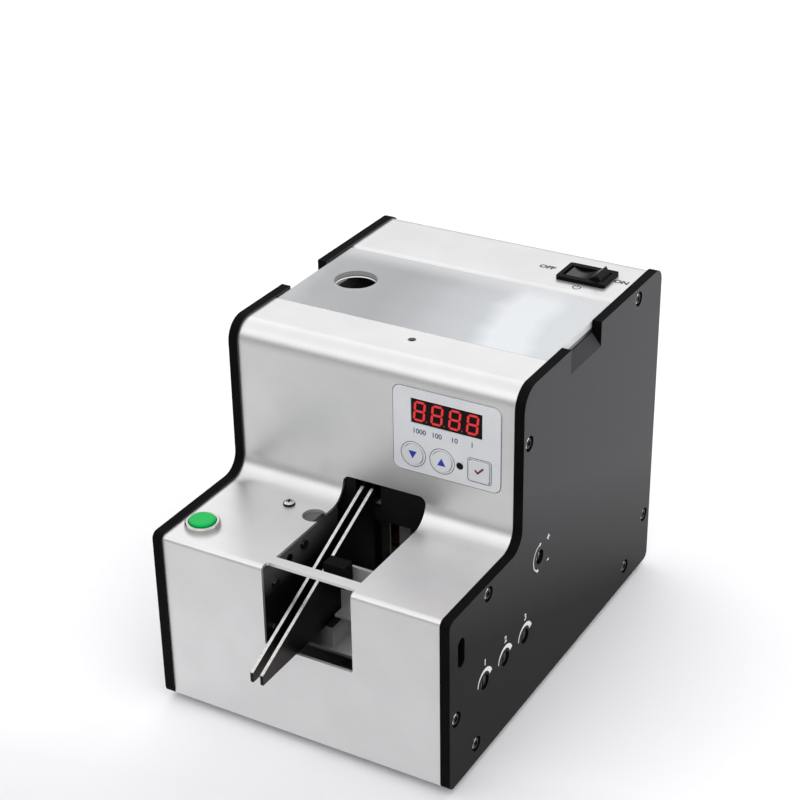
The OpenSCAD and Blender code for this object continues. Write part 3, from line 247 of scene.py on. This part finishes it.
# Finishes by the record's material slot
LOOKS = {
    # Side plates: black, with painted shade darker towards the bottom front
    "side_plate": dict(
        first=(0.002, 0.002, 0.002), second=(0.062, 0.061, 0.064), grade=PLATE_PAINTED_SHADE,
        rough=(0.30, 0.40), grain=5200.0, depth=4e-6, specular_ior_level=0.05),
    "cover_sheet": dict(
        first=(0.675, 0.67, 0.67), second=(0.715, 0.71, 0.71),
        rough=(0.36, 0.42), grain=5200.0, depth=4e-7, metallic=0.78),
    "zinc_sheet": dict(
        first=(0.44, 0.45, 0.46), second=(0.58, 0.59, 0.60), mottle=160.0,
        rough=(0.32, 0.5), grain=1800.0, depth=2e-6, metallic=1.0),
    "foot_rubber": dict(
        first=(0.014, 0.014, 0.014), second=(0.024, 0.023, 0.023),
        rough=(0.7, 0.9), grain=3000.0, depth=1.2e-5),
    "black_screw": dict(
        first=(0.008, 0.008, 0.009), second=(0.016, 0.016, 0.017),
        rough=(0.3, 0.42), grain=4000.0, depth=2e-6, metallic=0.5, specular_ior_level=0.2),
    "hopper_sheet": dict(
        first=(0.20, 0.205, 0.21), second=(0.26, 0.265, 0.27),
        rough=(0.28, 0.42), grain=2200.0, depth=2e-6, stretch=BRUSHED_X, metallic=0.9),
    "panel_face": dict(
        first=(0.70, 0.72, 0.74), second=(0.75, 0.765, 0.78),
        rough=(0.3, 0.4), grain=3600.0, depth=1e-6, coat_weight=0.2),
    "display_black": dict(
        first=(0.004, 0.001, 0.001), second=(0.008, 0.002, 0.002),
        rough=(0.12, 0.2), grain=800.0, depth=4e-7, specular_ior_level=0.12),
    "panel_key": dict(
        first=(0.66, 0.68, 0.70), second=(0.72, 0.735, 0.75),
        rough=(0.25, 0.36), grain=3600.0, depth=1e-6, coat_weight=0.3),
    "circuit_board": dict(
        first=(0.008, 0.07, 0.02), second=(0.02, 0.15, 0.05), mottle=420.0,
        rough=(0.25, 0.4), grain=1500.0, depth=8e-6),
    "bright_bezel": dict(
        first=(0.40, 0.39, 0.38), second=(0.48, 0.47, 0.46),
        rough=(0.08, 0.14), grain=1400.0, depth=4e-7, metallic=1.0),
    "green_cap": dict(
        first=(0.001, 0.43, 0.080), second=(0.002, 0.46, 0.088),
        rough=(0.20, 0.24), grain=260.0, depth=1e-7, specular_ior_level=0.1),
    "bush_brass": dict(
        first=(0.62, 0.43, 0.16), second=(0.74, 0.54, 0.24),
        rough=(0.22, 0.36), grain=2400.0, depth=1e-6, metallic=1.0),
    "switch_black": dict(
        first=(0.002, 0.002, 0.002), second=(0.004, 0.004, 0.004),
        rough=(0.38, 0.48), grain=3000.0, depth=1e-6, specular_ior_level=0.04),
    # Chute blades: painted shade, darker further back
    "chute_blade": dict(
        first=(0.036, 0.032, 0.027), second=(0.006, 0.005, 0.005), grade=BLADE_PAINTED_SHADE,
        rough=(0.30, 0.42), grain=2600.0, depth=1.5e-6, stretch=BRUSHED_Y,
        metallic=0.4, specular_ior_level=0.2),
    "grey_metal": dict(
        first=(0.36, 0.36, 0.37), second=(0.43, 0.43, 0.44),
        rough=(0.36, 0.5), grain=2200.0, depth=3e-6, metallic=0.7),
    # Dark guard: painted shade low down, painted light towards the top
    "dark_guard": dict(
        first=(0.006, 0.006, 0.006), second=(0.11, 0.108, 0.106), grade=GUARD_PAINTED_SHADE,
        rough=(0.42, 0.56), grain=3200.0, depth=5e-6, specular_ior_level=0.2),
    "bright_steel": dict(
        first=(0.62, 0.62, 0.63), second=(0.70, 0.70, 0.71),
        rough=(0.14, 0.26), grain=2600.0, depth=1e-6, metallic=1.0),
    "cast_base": dict(
        first=(0.16, 0.17, 0.18), second=(0.24, 0.25, 0.26),
        rough=(0.5, 0.7), grain=900.0, depth=2.5e-5, metallic=0.5),
    "coil_wrap": dict(
        first=(0.30, 0.13, 0.02), second=(0.48, 0.23, 0.05),
        rough=(0.25, 0.4), grain=1600.0, depth=1.2e-5, stretch=WOUND_Y),
    "roller_plastic": dict(
        first=(0.66, 0.62, 0.52), second=(0.74, 0.70, 0.61),
        rough=(0.36, 0.5), grain=1800.0, depth=4e-6, subsurface_weight=0.1),
    "brush_bristle": dict(
        first=(0.52, 0.48, 0.40), second=(0.68, 0.64, 0.56),
        rough=(0.5, 0.7), grain=3800.0, depth=4e-5),
    "trimmer_blue": dict(
        first=(0.012, 0.07, 0.34), second=(0.02, 0.10, 0.44),
        rough=(0.3, 0.45), grain=2600.0, depth=2e-6),
    "trimmer_rotor": dict(
        first=(0.03, 0.03, 0.03), second=(0.05, 0.05, 0.05),
        rough=(0.35, 0.5), grain=2600.0, depth=2e-6),
}
finishes = {slot: finish(slot + "_finish", **look) for slot, look in LOOKS.items()}


# The lid's greys are painted light and shade: dim over the mouth of the hopper, paler over its rims and white on
# the right
LID_WAY = (1.0, 0.12, 0.0)
LID_PAINTED_GREYS = (
    (0.04, 0.62),
    (0.16, 0.45),
    (0.40, 0.40),
    (0.54, 0.48),
    (0.62, 0.57),
    (0.76, 0.64),
    (0.83, 0.90),
    (0.94, 0.90),
    (1.0, 0.76),
)
LID_CAST = (0.97, 1.0, 1.03)
LID_CLOUD = 0.12
LID_CLOUD_SCALE = 30.0
LID_CLOUD_STRETCH = (0.5, 1.6, 1.0)
# Painted light: a paler band along the back of the lid
LID_RIM_PAINTED_LIGHT = (0.74, 0.75, 0.76)
LID_RIM_SHARE = 0.85
LID_RIM_W = 13.0 * MM


def clear_lid_finish():
    """Frosted acrylic: some light passes, the rest scatters in the faintly blue sheet, whose greys are painted
    light and shade.
    """
    material, tree, shader = new_material(
        "clear_lid_finish", transmission_weight=0.35, ior=1.49, specular_ior_level=0.5)
    low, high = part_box("hopper_lid")
    cloud = noise(tree, LID_CLOUD_SCALE, LID_CLOUD_STRETCH)
    across = calculate(tree, "MULTIPLY_ADD", cloud, LID_CLOUD, along(tree, LID_WAY, low.x, high.x))
    rise = along(tree, BACKWARD, high.y - LID_RIM_W, high.y, "SMOOTHSTEP")
    share = calculate(tree, "MULTIPLY", rise, LID_RIM_SHARE)
    sheet = greys(tree, across, LID_PAINTED_GREYS, LID_CAST)
    tree.links.new(mix(tree, share, sheet, LID_RIM_PAINTED_LIGHT), shader.inputs["Base Color"])
    roughen(tree, shader, rough=(0.12, 0.2), grain=2400.0, depth=1e-6)
    return material


finishes["clear_lid"] = clear_lid_finish()


# The clear sheet seen edge on in its finger hole: a painted glow, dim above and bright along its lower edge
HOLE_PAINTED_GREYS = (
    (0.0, 0.95),
    (0.18, 0.95),
    (0.26, 0.05),
    (0.42, 0.20),
    (0.8, 0.22),
    (1.0, 0.10),
)
HOLE_PAINTED_GLOW = 0.5
HOLE_ROUGH = (0.2, 0.3)
HOLE_GRAIN = 1800.0


def hole_wall_finish():
    material, tree, shader = new_material("hole_wall_finish", emission_strength=HOLE_PAINTED_GLOW)
    low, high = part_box("hopper_lid")
    bands = greys(tree, along(tree, UPWARD, low.z, high.z), HOLE_PAINTED_GREYS)
    gloss = spread(tree, noise(tree, HOLE_GRAIN), *HOLE_ROUGH)
    tree.links.new(bands, shader.inputs["Base Color"])
    tree.links.new(bands, shader.inputs["Emission Color"])
    tree.links.new(gloss, shader.inputs["Roughness"])
    return material


hole_wall_painted_glow = hole_wall_finish()

# Finishes of faces that differ from the rest of their solid, some of them painted light, highlight or shadow
plate_edge = finish(
    "plate_edge_finish", (0.002, 0.002, 0.002), (0.004, 0.004, 0.004),
    rough=(0.6, 0.7), grain=4200.0, depth=4e-6, specular_ior_level=0.04)
ground_edge = finish(
    "ground_edge_finish", (0.52, 0.51, 0.50), (0.72, 0.71, 0.70), mottle=700.0,
    rough=(0.26, 0.38), grain=1400.0, depth=8e-7, metallic=0.8)
# Painted highlight: the lid's edges in a bright, mostly opaque white
lid_edge_highlight = finish(
    "lid_edge_finish", (0.80, 0.81, 0.82), (0.90, 0.91, 0.92), mottle=240.0,
    rough=(0.3, 0.45), grain=1800.0, depth=2e-6, transmission_weight=0.2)
rocker_gloss = finish(
    "rocker_gloss_finish", (0.003, 0.003, 0.003), (0.005, 0.005, 0.005),
    rough=(0.28, 0.34), grain=1600.0, depth=4e-7, specular_ior_level=0.4)
bright_rim = finish(
    "bright_rim_finish", (0.82, 0.82, 0.83), (0.92, 0.92, 0.93), mottle=900.0,
    rough=(0.16, 0.26), grain=3000.0, depth=1e-6, metallic=1.0)
polished_head = finish(
    "polished_head_finish", (0.46, 0.46, 0.47), (0.54, 0.54, 0.55), mottle=900.0,
    rough=(0.06, 0.12), grain=3000.0, depth=4e-7, metallic=1.0)
# Painted light on the tray floor and on the spacer's front
tray_painted_light = finish(
    "tray_floor_finish", (0.05, 0.05, 0.05), (0.86, 0.86, 0.865), grade=TRAY_PAINTED_LIGHT,
    rough=(0.45, 0.6), grain=1800.0, depth=2e-6, metallic=0.1)
# Painted shadow on the spacer's right side
spacer_painted_shadow = finish(
    "spacer_side_finish", (0.62, 0.62, 0.625), (0.006, 0.006, 0.006), grade=SPACER_PAINTED_SHADOW,
    rough=(0.45, 0.6), grain=1800.0, depth=2e-6, metallic=0.1)
deep_black = finish(
    "deep_black_finish", (0.006, 0.006, 0.006), (0.010, 0.010, 0.010),
    rough=(0.5, 0.6), grain=2400.0, depth=2e-6, specular_ior_level=0.1)


# Rounded edges of the solids that show, in millimetres
EDGES = {
    "left_side_plate": 0.5,
    "right_side_plate": 0.5,
    "hopper_lid": 0.35,
    "control_panel": 0.3,
    "display_module": 0.15,
    "down_button": 0.3,
    "up_button": 0.3,
    "set_button": 0.3,
    "start_button_body": 0.2,
    "switch_housing": 0.25,
    "power_rocker": 0.25,
    "chute_left_blade": 0.12,
    "chute_right_blade": 0.12,
    "sensor_bracket": 0.15,
    "inner_tray": 0.15,
    "count_sensor": 0.25,
    "rubber_feet": 0.4,
    "guard_screws": 0.12,
    "dc_jack": 0.2,
}
WELD_DISTANCE = 0.002 * MM
EDGE_ANGLE = math.radians(32)
EDGE_STEPS = 2
FLAT_FACE_WEIGHT = 100


def soften(node, width_mm):
    """Rounds a solid's sharp edges with modifiers, so its own mesh stays as it is."""
    weld = node.modifiers.new("weld", "WELD")
    weld.merge_threshold = WELD_DISTANCE
    bevel = node.modifiers.new("edges", "BEVEL")
    bevel.width = width_mm * MM
    bevel.segments = EDGE_STEPS
    bevel.limit_method = "ANGLE"
    bevel.angle_limit = EDGE_ANGLE
    node.modifiers.new("normals", "WEIGHTED_NORMAL").weight = FLAT_FACE_WEIGHT


for name, node in nodes.items():
    slot = node.data.materials[0].name.split(".")[0]
    node.data.materials[0] = finishes[slot]
    if name in EDGES:
        soften(node, EDGES[name])


# Faces with a finish of their own, some of them painted light or shade
SQUARELY = 0.5
SCREW_FLANK = 0.2
SCREW_FLAT = 0.95
HOLE_REACH = 10.0 * MM

openings = frame["record"]["physics"]["openings"]
hole_box = next(gap["box_m"] for gap in openings if gap["name"] == "lid_finger_hole")
hole_mid = (Vector(hole_box[0]) + Vector(hole_box[1])) / 2
start_low, start_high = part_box("start_button_body")
start_mid = (start_low + start_high) / 2


def every(face):
    return True


def upward(face):
    return face.normal.z > SQUARELY


def not_upward(face):
    return not upward(face)


def forward(face):
    return face.normal.y < -SQUARELY


def rightward(face):
    return face.normal.x > SQUARELY


def plate_rim(face):
    return abs(face.normal.x) < SQUARELY


def lid_rim(face):
    return abs(face.normal.z) < SQUARELY


def in_finger_hole(face):
    return lid_rim(face) and (face.center.xy - hole_mid.xy).length < HOLE_REACH


def screw_dome(face):
    """True between the flank and the flat of a screw's head on a side plate."""
    return SCREW_FLANK < abs(face.normal.x) < SCREW_FLAT


def in_button_bore(face):
    inward = start_mid.xy - face.center.xy
    return face.normal.xy.dot(inward) > SQUARELY * inward.length


def refinish(name, material, chosen):
    """Gives another finish to a solid's chosen faces."""
    mesh = nodes[name].data
    mesh.materials.append(material)
    index = len(mesh.materials) - 1
    for face in mesh.polygons:
        if chosen(face):
            face.material_index = index


for name in ("left_side_plate", "right_side_plate"):
    refinish(name, plate_edge, plate_rim)
for name in ("chute_left_blade", "chute_right_blade"):
    refinish(name, ground_edge, upward)
    refinish(name, deep_black, forward)
# The lid's edges carry a painted highlight
refinish("hopper_lid", lid_edge_highlight, lid_rim)
# The finger hole's wall carries a painted glow
refinish("hopper_lid", hole_wall_painted_glow, in_finger_hole)
refinish("case_screws", bright_rim, screw_dome)
# The screws keep polished tops, with their sides painted black as shade
refinish("guard_screws", polished_head, upward)
refinish("guard_screws", deep_black, not_upward)
# The tray's floor carries painted light
refinish("inner_tray", tray_painted_light, upward)
# The spacer is painted as shade: black, with painted light across its front and a painted shadow on its right side
refinish("chute_spacer", deep_black, every)
refinish("chute_spacer", tray_painted_light, forward)
refinish("chute_spacer", spacer_painted_shadow, rightward)
refinish("track_shield", deep_black, every)
refinish("power_rocker", rocker_gloss, every)
# The bore round the start button's cap is painted black as shade
refinish("start_button_body", deep_black, in_button_bore)


# Print helpers: drawings are in millimetres, x to the right and y up
PRINT_T = 0.05 * MM
INK_SHADE = 0.9
INK_UNEVEN = 0.06
INK_GRAIN = 4200.0
INK_DEPTH = 1e-6
LETTER_STEPS = 4


def ink(name, colour, rough=0.45, **values):
    darker = tuple(INK_SHADE * share for share in colour)
    gloss = (rough - INK_UNEVEN, rough + INK_UNEVEN)
    return finish(name, darker, colour, gloss, INK_GRAIN, INK_DEPTH, **values)


white_ink = ink("white_ink", (0.82, 0.82, 0.82))
black_ink = ink("black_ink", (0.02, 0.02, 0.022))
slate_ink = ink("slate_ink", (0.04, 0.05, 0.08))
navy_ink = ink("navy_ink", (0.02, 0.03, 0.16))
blue_ink = ink("blue_ink", (0.012, 0.035, 0.40))
maroon_ink = ink("maroon_ink", (0.16, 0.012, 0.015))
lit_red = ink(
    "lit_red", (0.62, 0.012, 0.014), rough=0.3,
    emission_color=(0.9, 0.02, 0.03, 1.0), emission_strength=0.3)


def box_mm(node):
    low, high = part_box(node)
    return low / MM, high / MM


# Faces that carry print: the panel's front, the right plate's outside and the rear cover's top
panel_y = box_mm("control_panel")[0].y
plate_x = box_mm("right_side_plate")[1].x
top_z = box_mm("rear_cover")[1].z


def facing(origin_mm, right, up):
    """Places a flat drawing on a face of the machine."""
    right, up = Vector(right), Vector(up)
    turn = Matrix((right, up, right.cross(up))).transposed().to_4x4()
    turn.translation = Vector(origin_mm) * MM
    return turn


def on_front(x, y, z):
    return facing((x, y, z), RIGHTWARD, UPWARD)


def on_plate(y, z):
    return facing((plate_x, y, z), BACKWARD, UPWARD)


def on_top(x, y):
    return facing((x, y, top_z), RIGHTWARD, BACKWARD)


def add_piece(name, mesh, material, body):
    mesh.name = name
    mesh.materials.clear()
    mesh.materials.append(material)
    piece = bpy.data.objects.new(name, mesh)
    bpy.context.scene.collection.objects.link(piece)
    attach(piece, body)


def to_mesh(shape, place):
    bmesh.ops.recalc_face_normals(shape, faces=shape.faces)
    mesh = bpy.data.meshes.new("print")
    shape.to_mesh(mesh)
    shape.free()
    mesh.transform(place)
    return mesh


def prisms(outlines, place):
    """A mesh of thin raised shapes, each from its outline."""
    shape = bmesh.new()
    for outline in outlines:
        low = [shape.verts.new((x * MM, y * MM, -PRINT_T / 2)) for x, y in outline]
        high = [shape.verts.new((x * MM, y * MM, PRINT_T / 2)) for x, y in outline]
        shape.faces.new(high)
        shape.faces.new(low[::-1])
        for i in range(len(outline)):
            j = (i + 1) % len(outline)
            shape.faces.new((low[i], low[j], high[j], high[i]))
    return to_mesh(shape, place)


def band(sides, place, closed=False):
    """A mesh of one raised band between two sides with as many points each."""
    shape = bmesh.new()
    rows = []
    for pair in zip(*sides):
        rows.append([
            shape.verts.new((x * MM, y * MM, z))
            for z in (-PRINT_T / 2, PRINT_T / 2)
            for x, y in pair
        ])
    for first, second in zip(rows, rows[1:] + rows[:1] if closed else rows[1:]):
        for i, j in ((0, 1), (1, 3), (3, 2), (2, 0)):
            shape.faces.new((first[i], first[j], second[j], second[i]))
    if not closed:
        for row in (rows[0], rows[-1]):
            shape.faces.new((row[0], row[1], row[3], row[2]))
    return to_mesh(shape, place)


def lettering(words, size, place, weight):
    """A mesh of raised characters, centred on their place."""
    curve = bpy.data.curves.new("print", "FONT")
    curve.body = words
    curve.size = size * MM
    curve.align_x = "CENTER"
    curve.align_y = "CENTER"
    curve.extrude = PRINT_T / 2
    curve.offset = weight * MM
    curve.resolution_u = LETTER_STEPS
    drawing = bpy.data.objects.new("print", curve)
    bpy.context.scene.collection.objects.link(drawing)
    seen = drawing.evaluated_get(bpy.context.evaluated_depsgraph_get())
    mesh = bpy.data.meshes.new_from_object(seen)
    bpy.data.objects.remove(drawing)
    bpy.data.curves.remove(curve)
    mesh.transform(place)
    return mesh


def disc(x, y, radius, steps=16):
    turns = [2 * math.pi * i / steps for i in range(steps)]
    return [(x + radius * math.cos(a), y + radius * math.sin(a)) for a in turns]


def arc(inner, outer, start, end, steps=28):
    """The two sides of an arc, each radius going from its first to its second value, by angle in degrees."""
    sides = []
    for first, second in (inner, outer):
        side = []
        for i in range(steps + 1):
            t = i / steps
            a = math.radians(start + (end - start) * t)
            radius = first + (second - first) * t
            side.append((radius * math.cos(a), radius * math.sin(a)))
        sides.append(side)
    return sides


def even_arc(radius, width, start, end):
    inner, outer = radius - width / 2, radius + width / 2
    return arc((inner, inner), (outer, outer), start, end)


# Display digits: slanted seven-segment figures on the display's face, with points between them
DIGITS = 4
DIGIT_W = 4.0
DIGIT_H = 7.4
DIGIT_PITCH = 7.3
DIGITS_LEFT = 0.3
SEGMENT_W = 0.95
SEGMENT_GAP = 0.12
SLANT = 0.09
POINT_R = 0.42
POINT_RIGHT = 0.95


def segment(x0, y0, x1, y1):
    """A bar with pointed ends."""
    start, end = Vector((x0, y0)), Vector((x1, y1))
    ahead = (end - start).normalized()
    across = Vector((-ahead.y, ahead.x)) * SEGMENT_W / 2
    tip = ahead * SEGMENT_W / 2
    start += ahead * SEGMENT_GAP
    end -= ahead * SEGMENT_GAP
    return [start, start + tip + across, end - tip + across, end, end - tip - across, start + tip - across]


def digit(x):
    """The seven bars of a figure eight, slanted."""
    half_w, half_h = DIGIT_W / 2, DIGIT_H / 2
    bars = [segment(-half_w, y, half_w, y) for y in (-half_h, 0.0, half_h)]
    for side in (-half_w, half_w):
        bars.append(segment(side, -half_h, side, 0.0))
        bars.append(segment(side, 0.0, side, half_h))
    return [[(x + p.x + SLANT * p.y, p.y) for p in bar] for bar in bars]


display_low, display_high = box_mm("display_module")
display_mid = (display_low + display_high) / 2
display_face = on_front(display_mid.x, display_low.y, display_mid.z)
digit_xs = [(i - (DIGITS - 1) / 2) * DIGIT_PITCH - DIGITS_LEFT for i in range(DIGITS)]
bars = [bar for x in digit_xs for bar in digit(x)]
points = [disc(x + DIGIT_W / 2 + POINT_RIGHT, -DIGIT_H / 2, POINT_R) for x in digit_xs[:-1]]
add_piece("display_digits", prisms(bars, display_face), lit_red, "casing")
add_piece("display_points", prisms(points, display_face), maroon_ink, "casing")

# Place values under the digits
VALUES = ("1000", "100", "10", "1")
VALUE_SIZE = 2.9
VALUE_WEIGHT = 0.04
VALUE_DOWN = 3.3
for x, words in zip(digit_xs, VALUES):
    place = on_front(display_mid.x + x, panel_y, display_low.z - VALUE_DOWN)
    mesh = lettering(words, VALUE_SIZE, place, VALUE_WEIGHT)
    add_piece("place_value_" + words, mesh, navy_ink, "casing")


# Printed outlines round the keys, and the marks on them
LINE_GAP = 0.26
LINE_W = 0.24
RING_STEPS = 48
KEY_CORNER = 0.9
KEY_CORNER_STEPS = 6
ARROW_HALF = 1.75
ARROW_H = 3.2
TICK = [(-1.9, 0.2), (-1.35, 0.75), (-0.55, -0.15), (1.55, 2.0), (2.1, 1.45), (-0.55, -1.25)]


def round_outline(half, grown):
    return disc(0.0, 0.0, half + grown, RING_STEPS)


def square_outline(half, grown):
    """A square with rounded corners, grown outwards."""
    reach = half - KEY_CORNER
    radius = KEY_CORNER + grown
    points = []
    for quarter in range(4):
        middle = math.radians(45 + 90 * quarter)
        x = math.copysign(reach, math.cos(middle))
        y = math.copysign(reach, math.sin(middle))
        for i in range(KEY_CORNER_STEPS + 1):
            a = math.radians(90 * (quarter + i / KEY_CORNER_STEPS))
            points.append((x + radius * math.cos(a), y + radius * math.sin(a)))
    return points


def arrow(way):
    """A triangle that points up or down."""
    foot, tip = -way * ARROW_H / 2, way * ARROW_H / 2
    return [(-ARROW_HALF, foot), (ARROW_HALF, foot), (0.0, tip)]


KEYS = {
    "down_key": ("down_button", round_outline),
    "up_key": ("up_button", round_outline),
    "set_key": ("set_button", square_outline),
}
for body, (node, outline) in KEYS.items():
    low, high = box_mm(node)
    mid = (low + high) / 2
    half = (high.x - low.x) / 2 + LINE_GAP
    sides = (outline(half, 0.0), outline(half, LINE_W))
    ring = band(sides, on_front(mid.x, panel_y, mid.z), closed=True)
    add_piece(body + "_outline", ring, slate_ink, "casing")

MARKS = (
    ("down_key", "_arrow", arrow(-1), blue_ink),
    ("up_key", "_arrow", arrow(1), blue_ink),
    ("set_key", "_tick", TICK, maroon_ink),
)
for body, ending, shape, colour in MARKS:
    low, high = box_mm(KEYS[body][0])
    mid = (low + high) / 2
    mark = prisms([shape], on_front(mid.x, low.y, mid.z))
    add_piece(body + ending, mark, colour, body)


# Scales and numbers at the three adjusters on the right plate
TRIMMERS = ("speed_trimmer", "vibrator_trimmer", "roller_trimmer")
SCALE_INNER = (5.3, 3.9)
SCALE_OUTER = (5.8, 6.0)
SCALE_FROM = 178.0
SCALE_TO = 22.0
NUMBER_SIZE = 3.8
NUMBER_WEIGHT = 0.1
NUMBER_UP = 8.6
for number, node in enumerate(TRIMMERS, start=1):
    low, high = box_mm(node)
    mid = (low + high) / 2
    scale = band(arc(SCALE_INNER, SCALE_OUTER, SCALE_FROM, SCALE_TO), on_plate(mid.y, mid.z))
    mesh = lettering(str(number), NUMBER_SIZE, on_plate(mid.y, mid.z + NUMBER_UP), NUMBER_WEIGHT)
    add_piece(f"scale_arc_{number}", scale, white_ink, "casing")
    add_piece(f"scale_number_{number}", mesh, white_ink, "casing")


# Double arrow, plus and minus at the gate adjuster
GATE_R = 5.5
GATE_LINE_W = 0.5
GATE_FROM = 95.0
GATE_TO = 245.0
HEAD_L = 1.5
HEAD_HALF = 0.85
SIGN_SIZE = 4.8
SIGN_WEIGHT = 0.12
SIGN_BACK = 7.0
PLUS_UP = 4.9
MINUS_UP = -4.6


def arrowhead(angle, way):
    """The head of a curved arrow on the gate's arc."""
    a = math.radians(angle)
    ahead = Vector((-math.sin(a), math.cos(a))) * way
    out = Vector((math.cos(a), math.sin(a)))
    base = out * GATE_R
    return [tuple(p) for p in (base + out * HEAD_HALF, base + ahead * HEAD_L, base - out * HEAD_HALF)]


gate_pos = next(joint["pos_m"] for joint in frame["joints"] if joint["name"] == "gate_turn")
gate_y, gate_z = gate_pos[1] / MM, gate_pos[2] / MM
gate_face = on_plate(gate_y, gate_z)
gate_line = band(even_arc(GATE_R, GATE_LINE_W, GATE_FROM, GATE_TO), gate_face)
gate_heads = prisms([arrowhead(GATE_FROM, -1), arrowhead(GATE_TO, 1)], gate_face)
add_piece("gate_arc", gate_line, white_ink, "casing")
add_piece("gate_arrows", gate_heads, white_ink, "casing")
for name, words, up in (("gate_plus", "+", PLUS_UP), ("gate_minus", "-", MINUS_UP)):
    mesh = lettering(words, SIGN_SIZE, on_plate(gate_y + SIGN_BACK, gate_z + up), SIGN_WEIGHT)
    add_piece(name, mesh, white_ink, "casing")


# Lettering and power sign round the switch
LETTER_SIZE = 3.9
LETTER_WEIGHT = 0.18
LETTER_BACK = 1.6
OFF_LEFT = 7.8
ON_RIGHT = 3.4
POWER_R = 1.55
POWER_LINE_W = 0.5
POWER_FROM = 125.0
POWER_TO = 415.0
POWER_BAR_FROM = 0.2
POWER_BAR_TO = 2.1
POWER_RIGHT = 0.4
POWER_FRONT = 3.4
switch_low, switch_high = box_mm("switch_housing")
switch_mid = (switch_low + switch_high) / 2
for words, x in (("OFF", switch_low.x - OFF_LEFT), ("ON", switch_high.x + ON_RIGHT)):
    mesh = lettering(words, LETTER_SIZE, on_top(x, switch_mid.y + LETTER_BACK), LETTER_WEIGHT)
    add_piece(words.lower() + "_lettering", mesh, black_ink, "casing")

power_face = on_top(switch_mid.x + POWER_RIGHT, switch_low.y - POWER_FRONT)
power_ring = band(even_arc(POWER_R, POWER_LINE_W, POWER_FROM, POWER_TO), power_face)
power_bar = [
    (-POWER_LINE_W / 2, POWER_BAR_FROM),
    (POWER_LINE_W / 2, POWER_BAR_FROM),
    (POWER_LINE_W / 2, POWER_BAR_TO),
    (-POWER_LINE_W / 2, POWER_BAR_TO),
]
add_piece("power_ring", power_ring, black_ink, "casing")
add_piece("power_bar", prisms([power_bar], power_face), black_ink, "casing")


# Studio: a pale floor, a soft sky with a dim horizon, and one large soft light
# The floor is painted darker in front, as shade where the case mirrors it, and pales to white under and behind the
# part
FLOOR_R = 30.0
FLOOR_SIDES = 96
FLOOR_WAY = (-0.24, 0.97, 0.0)
FLOOR_FROM = -0.30
FLOOR_TO = -0.06
FLOOR_PAINTED_GREYS = (
    (0.10, 0.50),
    (0.40, 0.62),
    (0.62, 0.70),
    (0.80, 0.80),
    (0.95, 0.94),
)
SKY_GREYS = (
    (0.0, 0.86),
    (0.5, 0.08),
    (0.61, 0.10),
    (0.67, 0.66),
    (0.72, 1.64),
    (0.80, 1.66),
    (0.90, 1.22),
    (1.0, 1.06),
)
SOFTBOX_PLACE = Vector((0.10, -0.60, 0.80))
SOFTBOX_AIM = Vector((0.0, 0.0, 0.08))
SOFTBOX_W = 0.6
SOFTBOX_WATTS = 0.5


def add_floor():
    shape = bmesh.new()
    bmesh.ops.create_circle(shape, cap_ends=True, segments=FLOOR_SIDES, radius=FLOOR_R)
    mesh = bpy.data.meshes.new("studio_floor")
    shape.to_mesh(mesh)
    shape.free()
    floor = bpy.data.objects.new("studio_floor", mesh)
    material, tree, shader = new_material("studio_floor_finish", roughness=0.75)
    depth = along(tree, FLOOR_WAY, FLOOR_FROM, FLOOR_TO)
    tree.links.new(greys(tree, depth, FLOOR_PAINTED_GREYS), shader.inputs["Base Color"])
    mesh.materials.append(material)
    bpy.context.scene.collection.objects.link(floor)


def add_sky():
    """A sky whose grey goes by height, from straight down at 0 to straight up at 1."""
    world = bpy.data.worlds.new("studio_sky")
    world.use_nodes = True
    tree = world.node_tree
    place = tree.nodes.new("ShaderNodeTexCoord")
    parts = tree.nodes.new("ShaderNodeSeparateXYZ")
    height = tree.nodes.new("ShaderNodeMapRange")
    height.inputs["From Min"].default_value = -1.0
    background = tree.nodes["Background"]
    tree.links.new(place.outputs["Generated"], parts.inputs["Vector"])
    tree.links.new(parts.outputs["Z"], height.inputs["Value"])
    tree.links.new(greys(tree, height.outputs["Result"], SKY_GREYS), background.inputs["Color"])
    bpy.context.scene.world = world


def add_softbox():
    data = bpy.data.lights.new("key_softbox", "AREA")
    data.shape = "SQUARE"
    data.size = SOFTBOX_W
    data.energy = SOFTBOX_WATTS
    light = bpy.data.objects.new("key_softbox", data)
    light.location = SOFTBOX_PLACE
    light.rotation_euler = (SOFTBOX_AIM - SOFTBOX_PLACE).to_track_quat("-Z", "Y").to_euler()
    bpy.context.scene.collection.objects.link(light)


add_floor()
add_sky()
add_softbox()
bpy.context.scene.view_settings.view_transform = "Standard"
